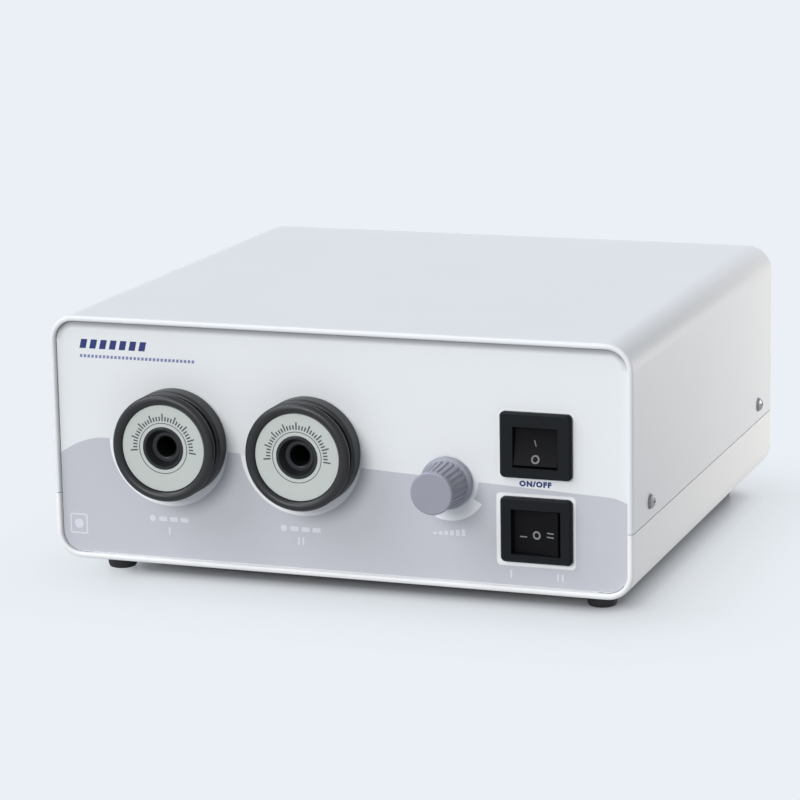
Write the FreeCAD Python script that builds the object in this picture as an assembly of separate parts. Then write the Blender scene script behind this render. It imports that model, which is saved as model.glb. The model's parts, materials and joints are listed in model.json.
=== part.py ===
"""Benchtop fiber optic illuminator with two light-guide outlets, one halogen reflector lamp behind each.

Frame: millimetres, +X to the right seen from the front, +Y to the back, +Z up. The front faces -Y.
The origin is on the surface the feet stand on, at the centre of the overall footprint.
"""
import FreeCAD, Part
import math
import os

from FreeCAD import Vector

os.makedirs("parts", exist_ok=True)

# ---------------------------------------------------------------- driving dimensions
# Case
CASE_W = 260.0
CASE_H = 107.3
CASE_D = 243.3
CASE_R = 11.5  # outer radius of the four long edges
SHEET = 1.2  # steel sheet of cover and tray
SEAM_H = 28.5  # seam between tray and cover, above the underside
SEAM_GAP = 0.4
HEM_D = 18.5  # the front edge is hemmed, its sheet folded back flat on itself this deep
LIP_ROUND = 1.3  # outer round of the hem
LIP_INNER_ROUND = 0.8
REAR_ROUND = 0.5
FLANGE_RISE = 13.0  # how far the tray's inner flange reaches above the seam
FLANGE_GAP = 0.2
PANEL_RECESS = 2.0  # front skin behind the front lip
REAR_RECESS = 2.3
OVERLAY_T = 0.3
PANEL_T = 2.0
REAR_T = 1.5
PANEL_GAP = 0.2  # panels inside the case
FOLD_T = 1.5
FOLD_D = 14.0

# Feet
FOOT_H = 9.0
FOOT_TOP_R = 7.5
FOOT_TIP_R = 6.0
FOOT_ROUND = 1.2
FOOT_SIDE = 20.0  # foot axis inside the case's side
FOOT_INSET = 24.0  # foot axis behind the lip, and the same from the back

# Fasteners
M3_R = 1.5
M4_R = 2.0
M3_HEAD_R = 2.9
M4_HEAD_R = 3.5
HOLE_CLEAR = 0.2  # radial clearance of a screw in its hole
THREAD_CLEAR = 0.05  # radial clearance between a thread and its nut, as plain cylinders
WASHER_T = 0.5
COVER_SCREW_Z = 36.4  # above the underside
COVER_SCREW_INSET = 26.0  # behind the lip, and the same from the back

# Light-guide outlets
PORT_X = (-72.5, -11.7)
PORT_Z = 54.6  # above the underside
BORE_R = 4.5
BEZEL_R = 23.3
BEZEL_REACH = 15.5  # in front of the skin
BEZEL_BODY = 8.2  # depth of the collar behind the groove
BEZEL_GROOVE_D = 1.9
BEZEL_RING = 4.4  # width of the round front ring
PLATE_T = 1.0
PLATE_SEAT = 13.0  # the face plate's back face, in front of the skin
SOCKET_R = 9.2  # threaded barrel
SOCKET_COLLAR = 2.8  # the clamping flange, beyond the thread
SOCKET_FLANGE_T = 3.0
TAIL_SHOULDER = 1.7  # the plain tail, inside the thread
SOCKET_TAIL = 20.0  # the barrel's back end, behind the skin
TAIL_STEP = 13.0
LOCK_NUT_WALL = 3.3
LOCK_NUT_T = 4.0
FIT = 0.1  # radial clearance between pieces that only lie in each other

# Heat filter and lamp
FILTER_R = 13.0
FILTER_T = 3.0
FOCUS = 34.0  # from the lamp's rim to the back end of the bore
LAMP_R = 25.35
LAMP_RIM_T = 2.5
LAMP_BOWL_D = 30.0
LAMP_NECK_R = 9.5
LAMP_NECK_D = 3.5
LAMP_WALL = 1.6
CAPSULE_R = 5.5
PIN_PITCH = 5.3
PIN_R = 0.75
PIN_LEN = 6.5
BRACKET_T = 1.5
BRACKET_TOP = 88.0

# Intensity control
KNOB_X = 49.9
KNOB_Z = 45.0
KNOB_REACH = 21.5  # front of the cap, in front of the skin
KNOB_CAP_R = 9.1
KNOB_SKIRT_R = 11.0
KNOB_GAP = 0.7  # behind the skirt
KNOB_FLUTES = 24
KNOB_FLUTE_R = 0.85
SHAFT_R = 3.0
SHAFT_RUN = 0.05  # running clearance of the shaft in its bushing
BUSHING_WALL = 1.7
POT_NUT_WALL = 1.8
POT_NUT_T = 2.4
POT_R = 12.0
POT_D = 10.0

# Rocker switches
SWITCH_X = 88.6
POWER_Z = 63.0
SELECTOR_Z = 27.1
SWITCH_W = 30.8
SWITCH_H = 27.7
SWITCH_BEZEL_T = 2.6
SWITCH_LEDGE = 1.9  # the bezel beyond the body, on all sides
SWITCH_BODY_D = 26.0
ROCKER_DROP = 0.8  # the rocker openings sit a little below the bezel's centre
POWER_OPEN = (19.4, 17.2)  # width, height
SELECTOR_OPEN = (21.4, 19.2)
ROCKER_GAP = 0.35
ROCKER_TILT = 10.0
ROCKER_PIVOT = 1.0  # pivot line behind the skin
ROCKER_CREST = 1.2  # rocker's end edges in front of the skin when level
ROCKER_DISH = 0.7
TRUNNION_R = 1.4
TRUNNION_LEN = 1.2

# Back panel: cooling fan and appliance inlet
FAN_X = -41.6
FAN_SIZE = 80.0
FAN_D = 25.0
FAN_EAR = 4.25  # screw axes inside the frame's edges
FAN_WALL = 2.0  # the duct's wall where it is thinnest
FAN_TIP_GAP = 1.0
FAN_HUB_R = 15.5
FAN_BLADES = 7
GUARD_WIRE_R = 0.9
GUARD_RISE = 5.5  # outer face of the guard above the back panel
INLET_X = 84.0
INLET_Z = 34.0
INLET_T = 3.0
INLET_EAR = 40.0  # between the two flange screws
INLET_EAR_ROOM = 5.0
INLET_MARGIN = 2.0  # the flange beyond the body, above and below
INLET_SIDE = 1.3  # wall beside the recess
INLET_RIM = 2.6  # wall under the recess and over the drawer
INLET_WEB = 2.9  # wall between the two
INLET_BODY_D = 27.0
RECESS_W = 24.6
RECESS_H = 16.9
RECESS_D = 17.5
RECESS_CUT = 5.0
MAINS_PIN_PITCH = 7.0
MAINS_PIN_TIP = 4.5  # pin tips below the inlet's face
DRAWER_H = 7.0
DRAWER_D = 19.0
DRAWER_SIDE = 1.3  # the drawer beyond its fuses, on both sides
FUSE_R = 2.5
FUSE_LEN = 20.0

# Transformer
TOROID_SIDE = 5.0  # from the winding to the case's right side
TOROID_Y = 150.0  # behind the lip
TOROID_R = 50.0
TOROID_HOLE_R = 18.0
TOROID_H = 52.0
TOROID_ROUND = 9.0
PAD_T = 2.0
BOLT_R = 4.0

# Dimmer board
BOARD_W = 80.0
BOARD_L = 40.0
BOARD_T = 1.6
BOARD_Y = 66.0  # board centre behind the lip
STANDOFF_H = 8.0
STANDOFF_R = 3.0
STANDOFF_INSET = 4.5

# Lamp compartment partition
PARTITION_X = 21.5
PARTITION_T = 1.2

# ---------------------------------------------------------------- planes worked out from them
REAR_REACH = GUARD_RISE - REAR_RECESS
FRONT_REACH = KNOB_REACH - PANEL_RECESS
Y_LIP = (FRONT_REACH - CASE_D - REAR_REACH) / 2
Y_BACK = Y_LIP + CASE_D
Y_SKIN = Y_LIP + PANEL_RECESS
Y_PANEL = Y_SKIN + OVERLAY_T
Y_PANEL_IN = Y_PANEL + PANEL_T
Y_REAR = Y_BACK - REAR_RECESS
Y_REAR_IN = Y_REAR - REAR_T
Z_BASE = FOOT_H
Z_FLOOR = Z_BASE + SHEET
Z_SEAM = Z_BASE + SEAM_H
Z_TOP = Z_BASE + CASE_H
Z_MID = Z_BASE + CASE_H / 2
Z_PORT = Z_BASE + PORT_Z
LIP_T = 2 * SHEET  # the hemmed front edge
PLATE_R = BEZEL_R - BEZEL_RING - FIT
SOCKET_FLANGE_R = SOCKET_R + SOCKET_COLLAR
SOCKET_TAIL_R = SOCKET_R - TAIL_SHOULDER
BUSHING_R = SHAFT_R + BUSHING_WALL
POT_NUT_FLATS = 2 * (BUSHING_R + POT_NUT_WALL)
SWITCH_BODY_W = SWITCH_W - 2 * SWITCH_LEDGE
SWITCH_BODY_H = SWITCH_H - 2 * SWITCH_LEDGE
FAN_BORE_R = FAN_SIZE / 2 - FAN_WALL
FAN_TIP_R = FAN_BORE_R - FAN_TIP_GAP
INLET_BODY_W = RECESS_W + 2 * INLET_SIDE
INLET_BODY_H = 2 * INLET_RIM + RECESS_H + INLET_WEB + DRAWER_H
DRAWER_W = FUSE_LEN + 2 * DRAWER_SIDE
TOROID_X = CASE_W / 2 - TOROID_SIDE - TOROID_R
PANEL_DEPTH = Y_PANEL_IN - Y_SKIN  # the panel's back face, behind the skin
LAMP_RIM = SOCKET_TAIL + FOCUS  # the lamp's rim, behind the skin

X_AXIS = Vector(1, 0, 0)
Y_AXIS = Vector(0, 1, 0)
Z_AXIS = Vector(0, 0, 1)


# ---------------------------------------------------------------- helpers
def box(x0, x1, y0, y1, z0, z1):
    return Part.makeBox(x1 - x0, y1 - y0, z1 - z0, Vector(x0, y0, z0))


def rounded_box(x0, x1, y0, y1, z0, z1, radius, axis):
    """A box with its four edges along the axis rounded."""
    solid = box(x0, x1, y0, y1, z0, z1)
    edges = [e for e in solid.Edges if abs(e.tangentAt(e.FirstParameter).dot(axis)) > 0.99]
    return solid.makeFillet(radius, edges)


def rounded_plate(cx, cz, width, height, radius, y0, y1):
    """A plate facing front, with rounded corners."""
    half_w, half_h = width / 2, height / 2
    return rounded_box(cx - half_w, cx + half_w, y0, y1, cz - half_h, cz + half_h, radius, Y_AXIS)


def rod(x, z, radius, y0, y1):
    """A cylinder along Y."""
    return Part.makeCylinder(radius, y1 - y0, Vector(x, y0, z), Y_AXIS)


def post(x, y, radius, z0, z1):
    """A cylinder along Z."""
    return Part.makeCylinder(radius, z1 - z0, Vector(x, y, z0), Z_AXIS)


def outline(place, start, *steps):
    """A closed flat face. Each step is a corner (u, v), or a pair ((via), (end)) for a round stretch."""
    edges = []
    here = place(*start)
    for step in steps + (start,):
        if isinstance(step[0], tuple):
            via, end = place(*step[0]), place(*step[1])
            edges.append(Part.Arc(here, via, end).toShape())
        else:
            end = place(*step)
            if end.distanceToPoint(here) > 1e-6:
                edges.append(Part.LineSegment(here, end).toShape())
        here = end
    return Part.Face(Part.Wire(edges))


def turned(x, z, start, *steps):
    """A turned piece on a front-to-back axis. Its profile is (distance in front of the skin, radius)."""
    face = outline(lambda s, r: Vector(x + r, Y_SKIN - s, z), start, *steps)
    return face.revolve(Vector(x, 0, z), Y_AXIS, 360)


def turned_up(x, y, start, *steps):
    """A turned piece on an upright axis. Its profile is (radius, height)."""
    face = outline(lambda r, h: Vector(x + r, y, h), start, *steps)
    return face.revolve(Vector(x, y, 0), Z_AXIS, 360)


def slot(cx, cy, length, width, z0, z1):
    """An upright cutter for a slot with round ends, long along Y."""
    half = (length - width) / 2
    ends = post(cx, cy - half, width / 2, z0, z1).fuse(post(cx, cy + half, width / 2, z0, z1))
    return ends.fuse(box(cx - width / 2, cx + width / 2, cy - half, cy + half, z0, z1))


def joined(first, *others):
    return first.fuse(list(others)).removeSplitter()


def mirrored_x(shape):
    return shape.mirror(Vector(0, 0, 0), X_AXIS)


def hexagon(flats, thickness, hole_r):
    """A hexagonal nut standing on the XY plane."""
    corner = flats / math.sqrt(3)
    points = [Vector(corner * math.cos(a), corner * math.sin(a), 0) for a in
              [math.radians(60 * k) for k in range(7)]]
    nut = Part.Face(Part.makePolygon(points)).extrude(Vector(0, 0, thickness))
    return nut.cut(Part.makeCylinder(hole_r, thickness))


def pan_screw(radius, head_r, length):
    """A pan-head screw with a cross recess: its head stands on the XY plane, its shank goes down."""
    head_h = 0.52 * head_r
    edge = 0.45 * head_h
    screw = outline(lambda r, h: Vector(r, 0, h), (0, -length), (radius, -length), (radius, 0), (head_r, 0),
                    (head_r, edge), (0.6 * head_r, head_h), (0, head_h)).revolve(Vector(), Z_AXIS, 360)
    arm, half = 0.5 * head_r, 0.11 * head_r
    for reach_x, reach_y in ((arm, half), (half, arm)):
        screw = screw.cut(box(-reach_x, reach_x, -reach_y, reach_y, 0.5 * head_h, head_h + 1))
    return screw


def placed(shape, x, y, z, direction):
    """A copy of a piece that was drawn pointing up, at a place and pointing in a direction."""
    copy = shape.copy()
    copy.Placement = FreeCAD.Placement(Vector(x, y, z), FreeCAD.Rotation(Z_AXIS, direction))
    return copy


def save(node, *solids):
    shape = solids[0] if len(solids) == 1 else Part.makeCompound(list(solids))
    shape.exportStep("parts/" + node + ".step")


# ---------------------------------------------------------------- case
def case_section(inset, y0, y1):
    """The case's outline, less a margin all round, from one plane to another."""
    return rounded_plate(0, Z_MID, CASE_W - 2 * inset, CASE_H - 2 * inset, CASE_R - inset, y0, y1)


def end_rims(tube, y):
    """The outer and the inner edges of the tube's end at y."""
    end = next(face for face in tube.Faces if abs(face.CenterOfMass.y - y) < 1e-6)
    inner = [e for wire in end.Wires if not wire.isSame(end.OuterWire) for e in wire.Edges]
    return end.OuterWire.Edges, inner


def case_tube():
    """The whole case as one tube of sheet with a hemmed front edge, before it is parted at the seam."""
    tube = case_section(0, Y_LIP, Y_BACK).cut(case_section(SHEET, Y_LIP + HEM_D, Y_BACK + 1))
    tube = tube.cut(case_section(LIP_T, Y_LIP - 1, Y_LIP + HEM_D + 1))
    tube = tube.makeFillet(LIP_ROUND, end_rims(tube, Y_LIP)[0])
    tube = tube.makeFillet(LIP_INNER_ROUND, end_rims(tube, Y_LIP)[1])
    return tube.makeFillet(REAR_ROUND, end_rims(tube, Y_BACK)[0])


def cover_screw_places():
    """(side, y) of the four side screws."""
    return [(side, y) for side in (-1, 1) for y in (Y_LIP + COVER_SCREW_INSET, Y_BACK - COVER_SCREW_INSET)]


def side_bore(side, y, radius):
    """A cutter through one side of the case at a cover screw."""
    start = Vector(side * (CASE_W / 2 + 1), y, Z_BASE + COVER_SCREW_Z)
    return Part.makeCylinder(radius, 4 * SHEET + 1, start, Vector(-side, 0, 0))


def top_cover():
    cover = case_tube().cut(box(-CASE_W, CASE_W, Y_LIP - 1, Y_BACK + 1, 0, Z_SEAM + SEAM_GAP / 2))
    for side, y in cover_screw_places():
        cover = cover.cut(side_bore(side, y, M3_R + HOLE_CLEAR))
    return cover


def foot_places():
    side = CASE_W / 2 - FOOT_SIDE
    return [(x, y) for x in (-side, side) for y in (Y_LIP + FOOT_INSET, Y_BACK - FOOT_INSET)]


def front_fold_x():
    return (-96.0, 0.0, 96.0)


def rear_fold_x():
    return (-96.0, 24.0, 104.0)


def chassis_screw_places():
    """(x, y) of the screws that come up through the floor into a folded foot of a sheet piece."""
    front = [(x, Y_PANEL_IN + FOLD_D / 2) for x in front_fold_x()]
    rear = [(x, Y_REAR_IN - FOLD_D / 2) for x in rear_fold_x()]
    bracket = [(x, bracket_back() + FOLD_D / 2) for x in bracket_screw_x()]
    partition = [(PARTITION_X - FOLD_D / 2, y) for y in partition_screw_y()]
    return front + rear + bracket + partition


def bottom_tray():
    tray = case_tube().common(box(-CASE_W, CASE_W, Y_LIP - 1, Y_BACK + 1, 0, Z_SEAM - SEAM_GAP / 2))
    wall = CASE_W / 2 - SHEET
    step = wall - FLANGE_GAP
    flange = outline(lambda x, z: Vector(x, 0, z),
                     (wall, Z_SEAM - 5), (wall, Z_SEAM - 1.5), (step, Z_SEAM),
                     (step, Z_SEAM + FLANGE_RISE), (step - SHEET, Z_SEAM + FLANGE_RISE),
                     (step - SHEET, Z_SEAM - 1.5))
    y0, y1 = Y_LIP + HEM_D + 1, Y_REAR_IN - FOLD_D - 1
    flange = flange.extrude(Vector(0, y1 - y0, 0))
    flange.translate(Vector(0, y0, 0))
    tray = joined(tray, flange, mirrored_x(flange))
    for side, y in cover_screw_places():
        tray = tray.cut(side_bore(side, y, M3_R + THREAD_CLEAR))
    for x, y in foot_places() + chassis_screw_places():
        tray = tray.cut(post(x, y, M4_R + THREAD_CLEAR, Z_BASE - 1, Z_BASE + LIP_T + 1))
    tray = tray.cut(post(TOROID_X, Y_LIP + TOROID_Y, BOLT_R + HOLE_CLEAR, Z_BASE - 1, Z_FLOOR + 1))
    for x, y in standoff_places():
        tray = tray.cut(post(x, y, M3_R + THREAD_CLEAR, Z_BASE - 1, Z_FLOOR + 1))
    for row_y in (Y_LIP + 38.0, Y_LIP + 120.0):
        for k in range(8):
            tray = tray.cut(slot(FAN_X - 42.0 + 12.0 * k, row_y, 22.0, 3.5, Z_BASE - 1, Z_FLOOR + 1))
    return tray


def switch_window(z, y0, y1):
    return box(SWITCH_X - SWITCH_BODY_W / 2 - FIT, SWITCH_X + SWITCH_BODY_W / 2 + FIT, y0, y1,
               Z_BASE + z - SWITCH_BODY_H / 2 - FIT, Z_BASE + z + SWITCH_BODY_H / 2 + FIT)


def front_panel():
    """The front plate, with a foot and a top flange folded back inside the hem."""
    panel = case_section(LIP_T + PANEL_GAP, Y_PANEL, Y_PANEL_IN)
    half = CASE_W / 2 - CASE_R - 4
    y_end = Y_PANEL_IN + FOLD_D
    low, top = Z_BASE + LIP_T, Z_TOP - LIP_T - PANEL_GAP
    panel = joined(panel, box(-half, half, Y_PANEL, y_end, low, low + FOLD_T),
                   box(-half, half, Y_PANEL, y_end, top - FOLD_T, top))
    for x in PORT_X:
        panel = panel.cut(rod(x, Z_PORT, SOCKET_R + FIT, Y_LIP, Y_PANEL_IN + 1))
    panel = panel.cut(rod(KNOB_X, Z_BASE + KNOB_Z, BUSHING_R + FIT, Y_LIP, Y_PANEL_IN + 1))
    for z in (POWER_Z, SELECTOR_Z):
        panel = panel.cut(switch_window(z, Y_LIP, Y_PANEL_IN + 1))
    for x in front_fold_x():
        panel = panel.cut(post(x, Y_PANEL_IN + FOLD_D / 2, M4_R + THREAD_CLEAR, low - 1, low + FOLD_T + 1))
    return panel


def front_overlay():
    film = case_section(LIP_T + PANEL_GAP + 0.2, Y_SKIN, Y_PANEL)
    for x in PORT_X:
        film = film.cut(rod(x, Z_PORT, SOCKET_R + FIT, Y_LIP, Y_PANEL + 1))
    film = film.cut(rod(KNOB_X, Z_BASE + KNOB_Z, POT_NUT_FLATS / 2 + 1.5, Y_LIP, Y_PANEL + 1))
    for z in (POWER_Z, SELECTOR_Z):
        film = film.cut(switch_window(z, Y_LIP, Y_PANEL + 1))
    return film


def fan_screw_places():
    half = FAN_SIZE / 2 - FAN_EAR
    return [(FAN_X + i * half, Z_MID + k * half) for i in (-1, 1) for k in (-1, 1)]


def inlet_screw_x():
    return (INLET_X - INLET_EAR / 2, INLET_X + INLET_EAR / 2)


def rear_panel():
    """The back plate with its folded foot and flange, fan opening, inlet cut-out and air slots."""
    panel = case_section(SHEET + PANEL_GAP, Y_REAR_IN, Y_REAR)
    half = CASE_W / 2 - CASE_R - 4
    y_end = Y_REAR_IN - FOLD_D
    top = Z_TOP - SHEET - PANEL_GAP
    panel = joined(panel, box(-half, half, y_end, Y_REAR, Z_FLOOR, Z_FLOOR + FOLD_T),
                   box(-half, half, y_end, Y_REAR, top - FOLD_T, top))
    panel = panel.cut(rod(FAN_X, Z_MID, FAN_BORE_R, Y_REAR_IN - 1, Y_BACK))
    for x, z in fan_screw_places():
        panel = panel.cut(rod(x, z, M4_R + HOLE_CLEAR, Y_REAR_IN - 1, Y_BACK))
    half_w, half_h = INLET_BODY_W / 2 + FIT, INLET_BODY_H / 2 + FIT
    z_mid = Z_BASE + INLET_Z
    panel = panel.cut(box(INLET_X - half_w, INLET_X + half_w, Y_REAR_IN - 1, Y_BACK,
                          z_mid - half_h, z_mid + half_h))
    for x in inlet_screw_x():
        panel = panel.cut(rod(x, z_mid, M3_R + HOLE_CLEAR, Y_REAR_IN - 1, Y_BACK))
    for x in rear_fold_x():
        panel = panel.cut(post(x, Y_REAR_IN - FOLD_D / 2, M4_R + THREAD_CLEAR, Z_FLOOR - 1, Z_FLOOR + 3))
    for k in range(7):
        x = INLET_X - 30.0 + 10.0 * k
        louvre = rounded_box(x - 1.75, x + 1.75, Y_REAR_IN - 1, Y_BACK,
                             Z_TOP - 42.0, Z_TOP - 17.0, 1.7, Y_AXIS)
        panel = panel.cut(louvre)
    return panel


def cover_screws():
    out = CASE_W / 2 + WASHER_T
    screw = pan_screw(M3_R, M3_HEAD_R, 8.0)
    return [placed(screw, side * out, y, Z_BASE + COVER_SCREW_Z, Vector(side, 0, 0))
            for side, y in cover_screw_places()]


def cover_washers():
    washer = Part.makeCylinder(M3_HEAD_R + 0.4, WASHER_T)
    washer = washer.cut(Part.makeCylinder(M3_R + HOLE_CLEAR, WASHER_T))
    return [placed(washer, side * CASE_W / 2, y, Z_BASE + COVER_SCREW_Z, Vector(side, 0, 0))
            for side, y in cover_screw_places()]


FOOT_RECESS = 5.5  # height of the screw's seat above the foot's tip


def chassis_screws():
    """Screws that come up through the floor: into the folded feet inside, and through the rubber feet."""
    screw = pan_screw(M4_R, M4_HEAD_R, 8.0)
    folds = [placed(screw, x, y, Z_BASE, -Z_AXIS) for x, y in chassis_screw_places()]
    return folds + [placed(screw, x, y, FOOT_RECESS, -Z_AXIS) for x, y in foot_places()]


def rubber_feet():
    rim = FOOT_TIP_R + (FOOT_TOP_R - FOOT_TIP_R) * FOOT_ROUND / FOOT_H
    nip = FOOT_ROUND * (1 - math.sqrt(0.5))
    feet = []
    for x, y in foot_places():
        feet.append(turned_up(x, y, (M4_R + HOLE_CLEAR, FOOT_RECESS), (M4_R + HOLE_CLEAR, FOOT_H),
                              (FOOT_TOP_R, FOOT_H), (rim, FOOT_ROUND),
                              (rim - nip, nip), (rim - FOOT_ROUND, 0),
                              (M4_HEAD_R + 0.5, 0), (M4_HEAD_R + 0.5, FOOT_RECESS)))
    return feet


# ---------------------------------------------------------------- light-guide outlets
def port_bezel(x):
    """A moulded collar: deep body, groove, and a round front ring that frames the face plate."""
    ring = BEZEL_RING / 2
    groove_r = BEZEL_R - BEZEL_GROOVE_D
    ring_r = BEZEL_R - ring
    ring_s = BEZEL_REACH - ring
    nip = ring * math.sqrt(0.5)
    groove_end = ring_s - math.sqrt(ring**2 - (groove_r - ring_r)**2)
    edge = 1.6
    bend = edge * math.sqrt(0.5)
    return turned(x, Z_PORT, (0, SOCKET_R + FIT), (0, BEZEL_R - 0.6), (0.6, BEZEL_R),
                  (BEZEL_BODY - edge, BEZEL_R),
                  ((BEZEL_BODY - edge + bend, BEZEL_R - edge + bend), (BEZEL_BODY, BEZEL_R - edge)),
                  (BEZEL_BODY, groove_r), (groove_end, groove_r),
                  ((ring_s - nip, ring_r + nip), (ring_s, BEZEL_R)),
                  ((ring_s + nip, ring_r + nip), (BEZEL_REACH, ring_r)),
                  ((ring_s + nip, ring_r - nip), (ring_s, PLATE_R + FIT)),
                  (PLATE_SEAT, PLATE_R + FIT), (PLATE_SEAT, SOCKET_FLANGE_R + FIT),
                  (PLATE_SEAT - SOCKET_FLANGE_T, SOCKET_FLANGE_R + FIT),
                  (PLATE_SEAT - SOCKET_FLANGE_T, SOCKET_R + FIT))


def port_face_plate(x):
    front = PLATE_SEAT + PLATE_T
    return turned(x, Z_PORT, (PLATE_SEAT, SOCKET_R + FIT), (PLATE_SEAT, PLATE_R), (front - 0.2, PLATE_R),
                  (front, PLATE_R - 0.2), (front, SOCKET_R + FIT))


SOCKET_NOSE = PLATE_SEAT + PLATE_T + 0.3
SOCKET_STEP = SOCKET_NOSE - 3.3  # the flat ring at the bottom of the funnel


def port_socket(x):
    """The turned barrel: funnel mouth, light-guide bore, clamping flange, threaded body and plain tail."""
    flange_back = PLATE_SEAT - SOCKET_FLANGE_T
    return turned(x, Z_PORT, (SOCKET_NOSE - 0.4, SOCKET_R), (PLATE_SEAT, SOCKET_R),
                  (PLATE_SEAT, SOCKET_FLANGE_R),
                  (flange_back, SOCKET_FLANGE_R), (flange_back, SOCKET_R), (-TAIL_STEP, SOCKET_R),
                  (-TAIL_STEP, SOCKET_TAIL_R), (-SOCKET_TAIL, SOCKET_TAIL_R), (-SOCKET_TAIL, BORE_R),
                  (SOCKET_STEP - 0.5, BORE_R), (SOCKET_STEP, BORE_R + 0.6), (SOCKET_STEP, SOCKET_R - 3.0),
                  (SOCKET_NOSE, SOCKET_R - 1.2), (SOCKET_NOSE, SOCKET_R - 0.4))


def panel_nuts():
    """The nuts that clamp the two outlets from behind, and the one that holds the control from in front."""
    nut = hexagon(2 * (SOCKET_R + LOCK_NUT_WALL), LOCK_NUT_T, SOCKET_R + THREAD_CLEAR)
    small = hexagon(POT_NUT_FLATS, POT_NUT_T, BUSHING_R + THREAD_CLEAR)
    x, z = knob_axis()
    nuts = [placed(nut, px, Y_PANEL_IN, Z_PORT, Y_AXIS) for px in PORT_X]
    return nuts + [placed(small, x, Y_PANEL, z, -Y_AXIS)]


FILTER_WALL = 1.4
FILTER_SEAT = SOCKET_TAIL + 1.5  # the glass's front face, behind the skin
FILTER_CUP = FILTER_SEAT + FILTER_T + 2.5


def filter_holder(x):
    """A sleeve on the barrel's tail that opens into a cup for the heat glass."""
    cup_r = FILTER_R + FIT + FILTER_WALL
    return turned(x, Z_PORT, (-TAIL_STEP - 0.5, SOCKET_TAIL_R + FIT), (-TAIL_STEP - 0.5, SOCKET_TAIL_R + 2.2),
                  (-SOCKET_TAIL, SOCKET_TAIL_R + 2.2), (-SOCKET_TAIL, cup_r), (-FILTER_CUP, cup_r),
                  (-FILTER_CUP, FILTER_R + FIT), (-FILTER_SEAT, FILTER_R + FIT),
                  (-FILTER_SEAT, SOCKET_TAIL_R + FIT))


def heat_filter(x):
    return rod(x, Z_PORT, FILTER_R, Y_SKIN + FILTER_SEAT, Y_SKIN + FILTER_SEAT + FILTER_T)


def filter_rings():
    """Spring rings that hold the glasses in their cups, each with an open gap at the top."""
    rings = []
    back = FILTER_SEAT + FILTER_T
    for x in PORT_X:
        ring = turned(x, Z_PORT, (-back, FILTER_R - 1.4), (-back, FILTER_R), (-back - 1, FILTER_R),
                      (-back - 1, FILTER_R - 1.4))
        gap = box(x - 1.5, x + 1.5, Y_SKIN, Y_SKIN + LAMP_RIM, Z_PORT, Z_PORT + FILTER_R + 1)
        rings.append(ring.cut(gap))
    return rings


# ---------------------------------------------------------------- lamps
BOWL_END = LAMP_RIM + LAMP_RIM_T + LAMP_BOWL_D
BASE_SEAT = BOWL_END + LAMP_NECK_D
BASE_D = 7.0
SOCKET_FACE = BASE_SEAT + BASE_D
BASE_W, BASE_H = 20.0, 12.0


def lamp_reflector(x):
    """A glass reflector shell: front rim, ellipsoid bowl and neck."""
    bowl = LAMP_RIM + LAMP_RIM_T
    bowl_r = LAMP_R - 1.2
    mouth = LAMP_NECK_R / bowl_r
    outside, inside = [], []
    for k in range(1, 7):
        depth = k / 6
        radius = bowl_r * math.sqrt(1 - depth**2 * (1 - mouth**2))
        outside.append((-bowl - depth * LAMP_BOWL_D, radius))
        inside.insert(0, (-bowl - depth * (LAMP_BOWL_D - LAMP_WALL), radius - LAMP_WALL))
    return turned(x, Z_PORT, (-LAMP_RIM, LAMP_R), (-bowl, LAMP_R), (-bowl, bowl_r), *outside,
                  (-BASE_SEAT, LAMP_NECK_R), (-BASE_SEAT, CAPSULE_R + 0.5),
                  (-BOWL_END + 0.5, CAPSULE_R + 0.5),
                  *inside, (-bowl, bowl_r - LAMP_WALL), (-LAMP_RIM, LAMP_R - LAMP_WALL))


def lamp_capsule(x):
    """The quartz capsule, seated on the base and reaching to the bowl's focus."""
    tip = BASE_SEAT - 26.0
    shoulder = tip + CAPSULE_R
    bend = CAPSULE_R * math.sqrt(0.5)
    return turned(x, Z_PORT, (-BASE_SEAT, 0), (-tip, 0), ((-shoulder + bend, bend), (-shoulder, CAPSULE_R)),
                  (-BASE_SEAT, CAPSULE_R))


def pin_places(x):
    return (x - PIN_PITCH / 2, x + PIN_PITCH / 2)


def lamp_base(x):
    """The ceramic cap cemented to the reflector's neck."""
    cap = rounded_plate(x, Z_PORT, BASE_W, BASE_H, 5.0, Y_SKIN + BASE_SEAT, Y_SKIN + SOCKET_FACE)
    for px in pin_places(x):
        cap = cap.cut(rod(px, Z_PORT, PIN_R, Y_SKIN + BASE_SEAT + 2, Y_SKIN + SOCKET_FACE + 1))
    return cap


def lamp_pins():
    y0, y1 = Y_SKIN + BASE_SEAT + 2, Y_SKIN + SOCKET_FACE + PIN_LEN
    return [rod(px, Z_PORT, PIN_R, y0, y1) for x in PORT_X for px in pin_places(x)]


LAMP_SOCKET_D = 16.0


def lamp_socket(x):
    """The ceramic socket that plugs onto the lamp's pins."""
    y0 = Y_SKIN + SOCKET_FACE
    body = rounded_plate(x, Z_PORT, BASE_W + 4, BASE_H, 2.0, y0, y0 + LAMP_SOCKET_D)
    for px in pin_places(x):
        body = body.cut(rod(px, Z_PORT, PIN_R + THREAD_CLEAR, y0 - 1, y0 + PIN_LEN + 0.5))
        body = body.cut(rod(px, Z_PORT, 1.4, y0 + LAMP_SOCKET_D - 5, y0 + LAMP_SOCKET_D + 1))
    for side in (-1, 1):
        ear = x + side * (BASE_W / 2)
        body = body.cut(rod(ear, Z_PORT, M3_R + HOLE_CLEAR, y0 - 1, y0 + LAMP_SOCKET_D + 1))
    return body


def bracket_back():
    return Y_SKIN + LAMP_RIM


def bracket_screw_x():
    return (PORT_X[0] - 20.0, sum(PORT_X) / 2, PORT_X[1] + 20.0)


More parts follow.
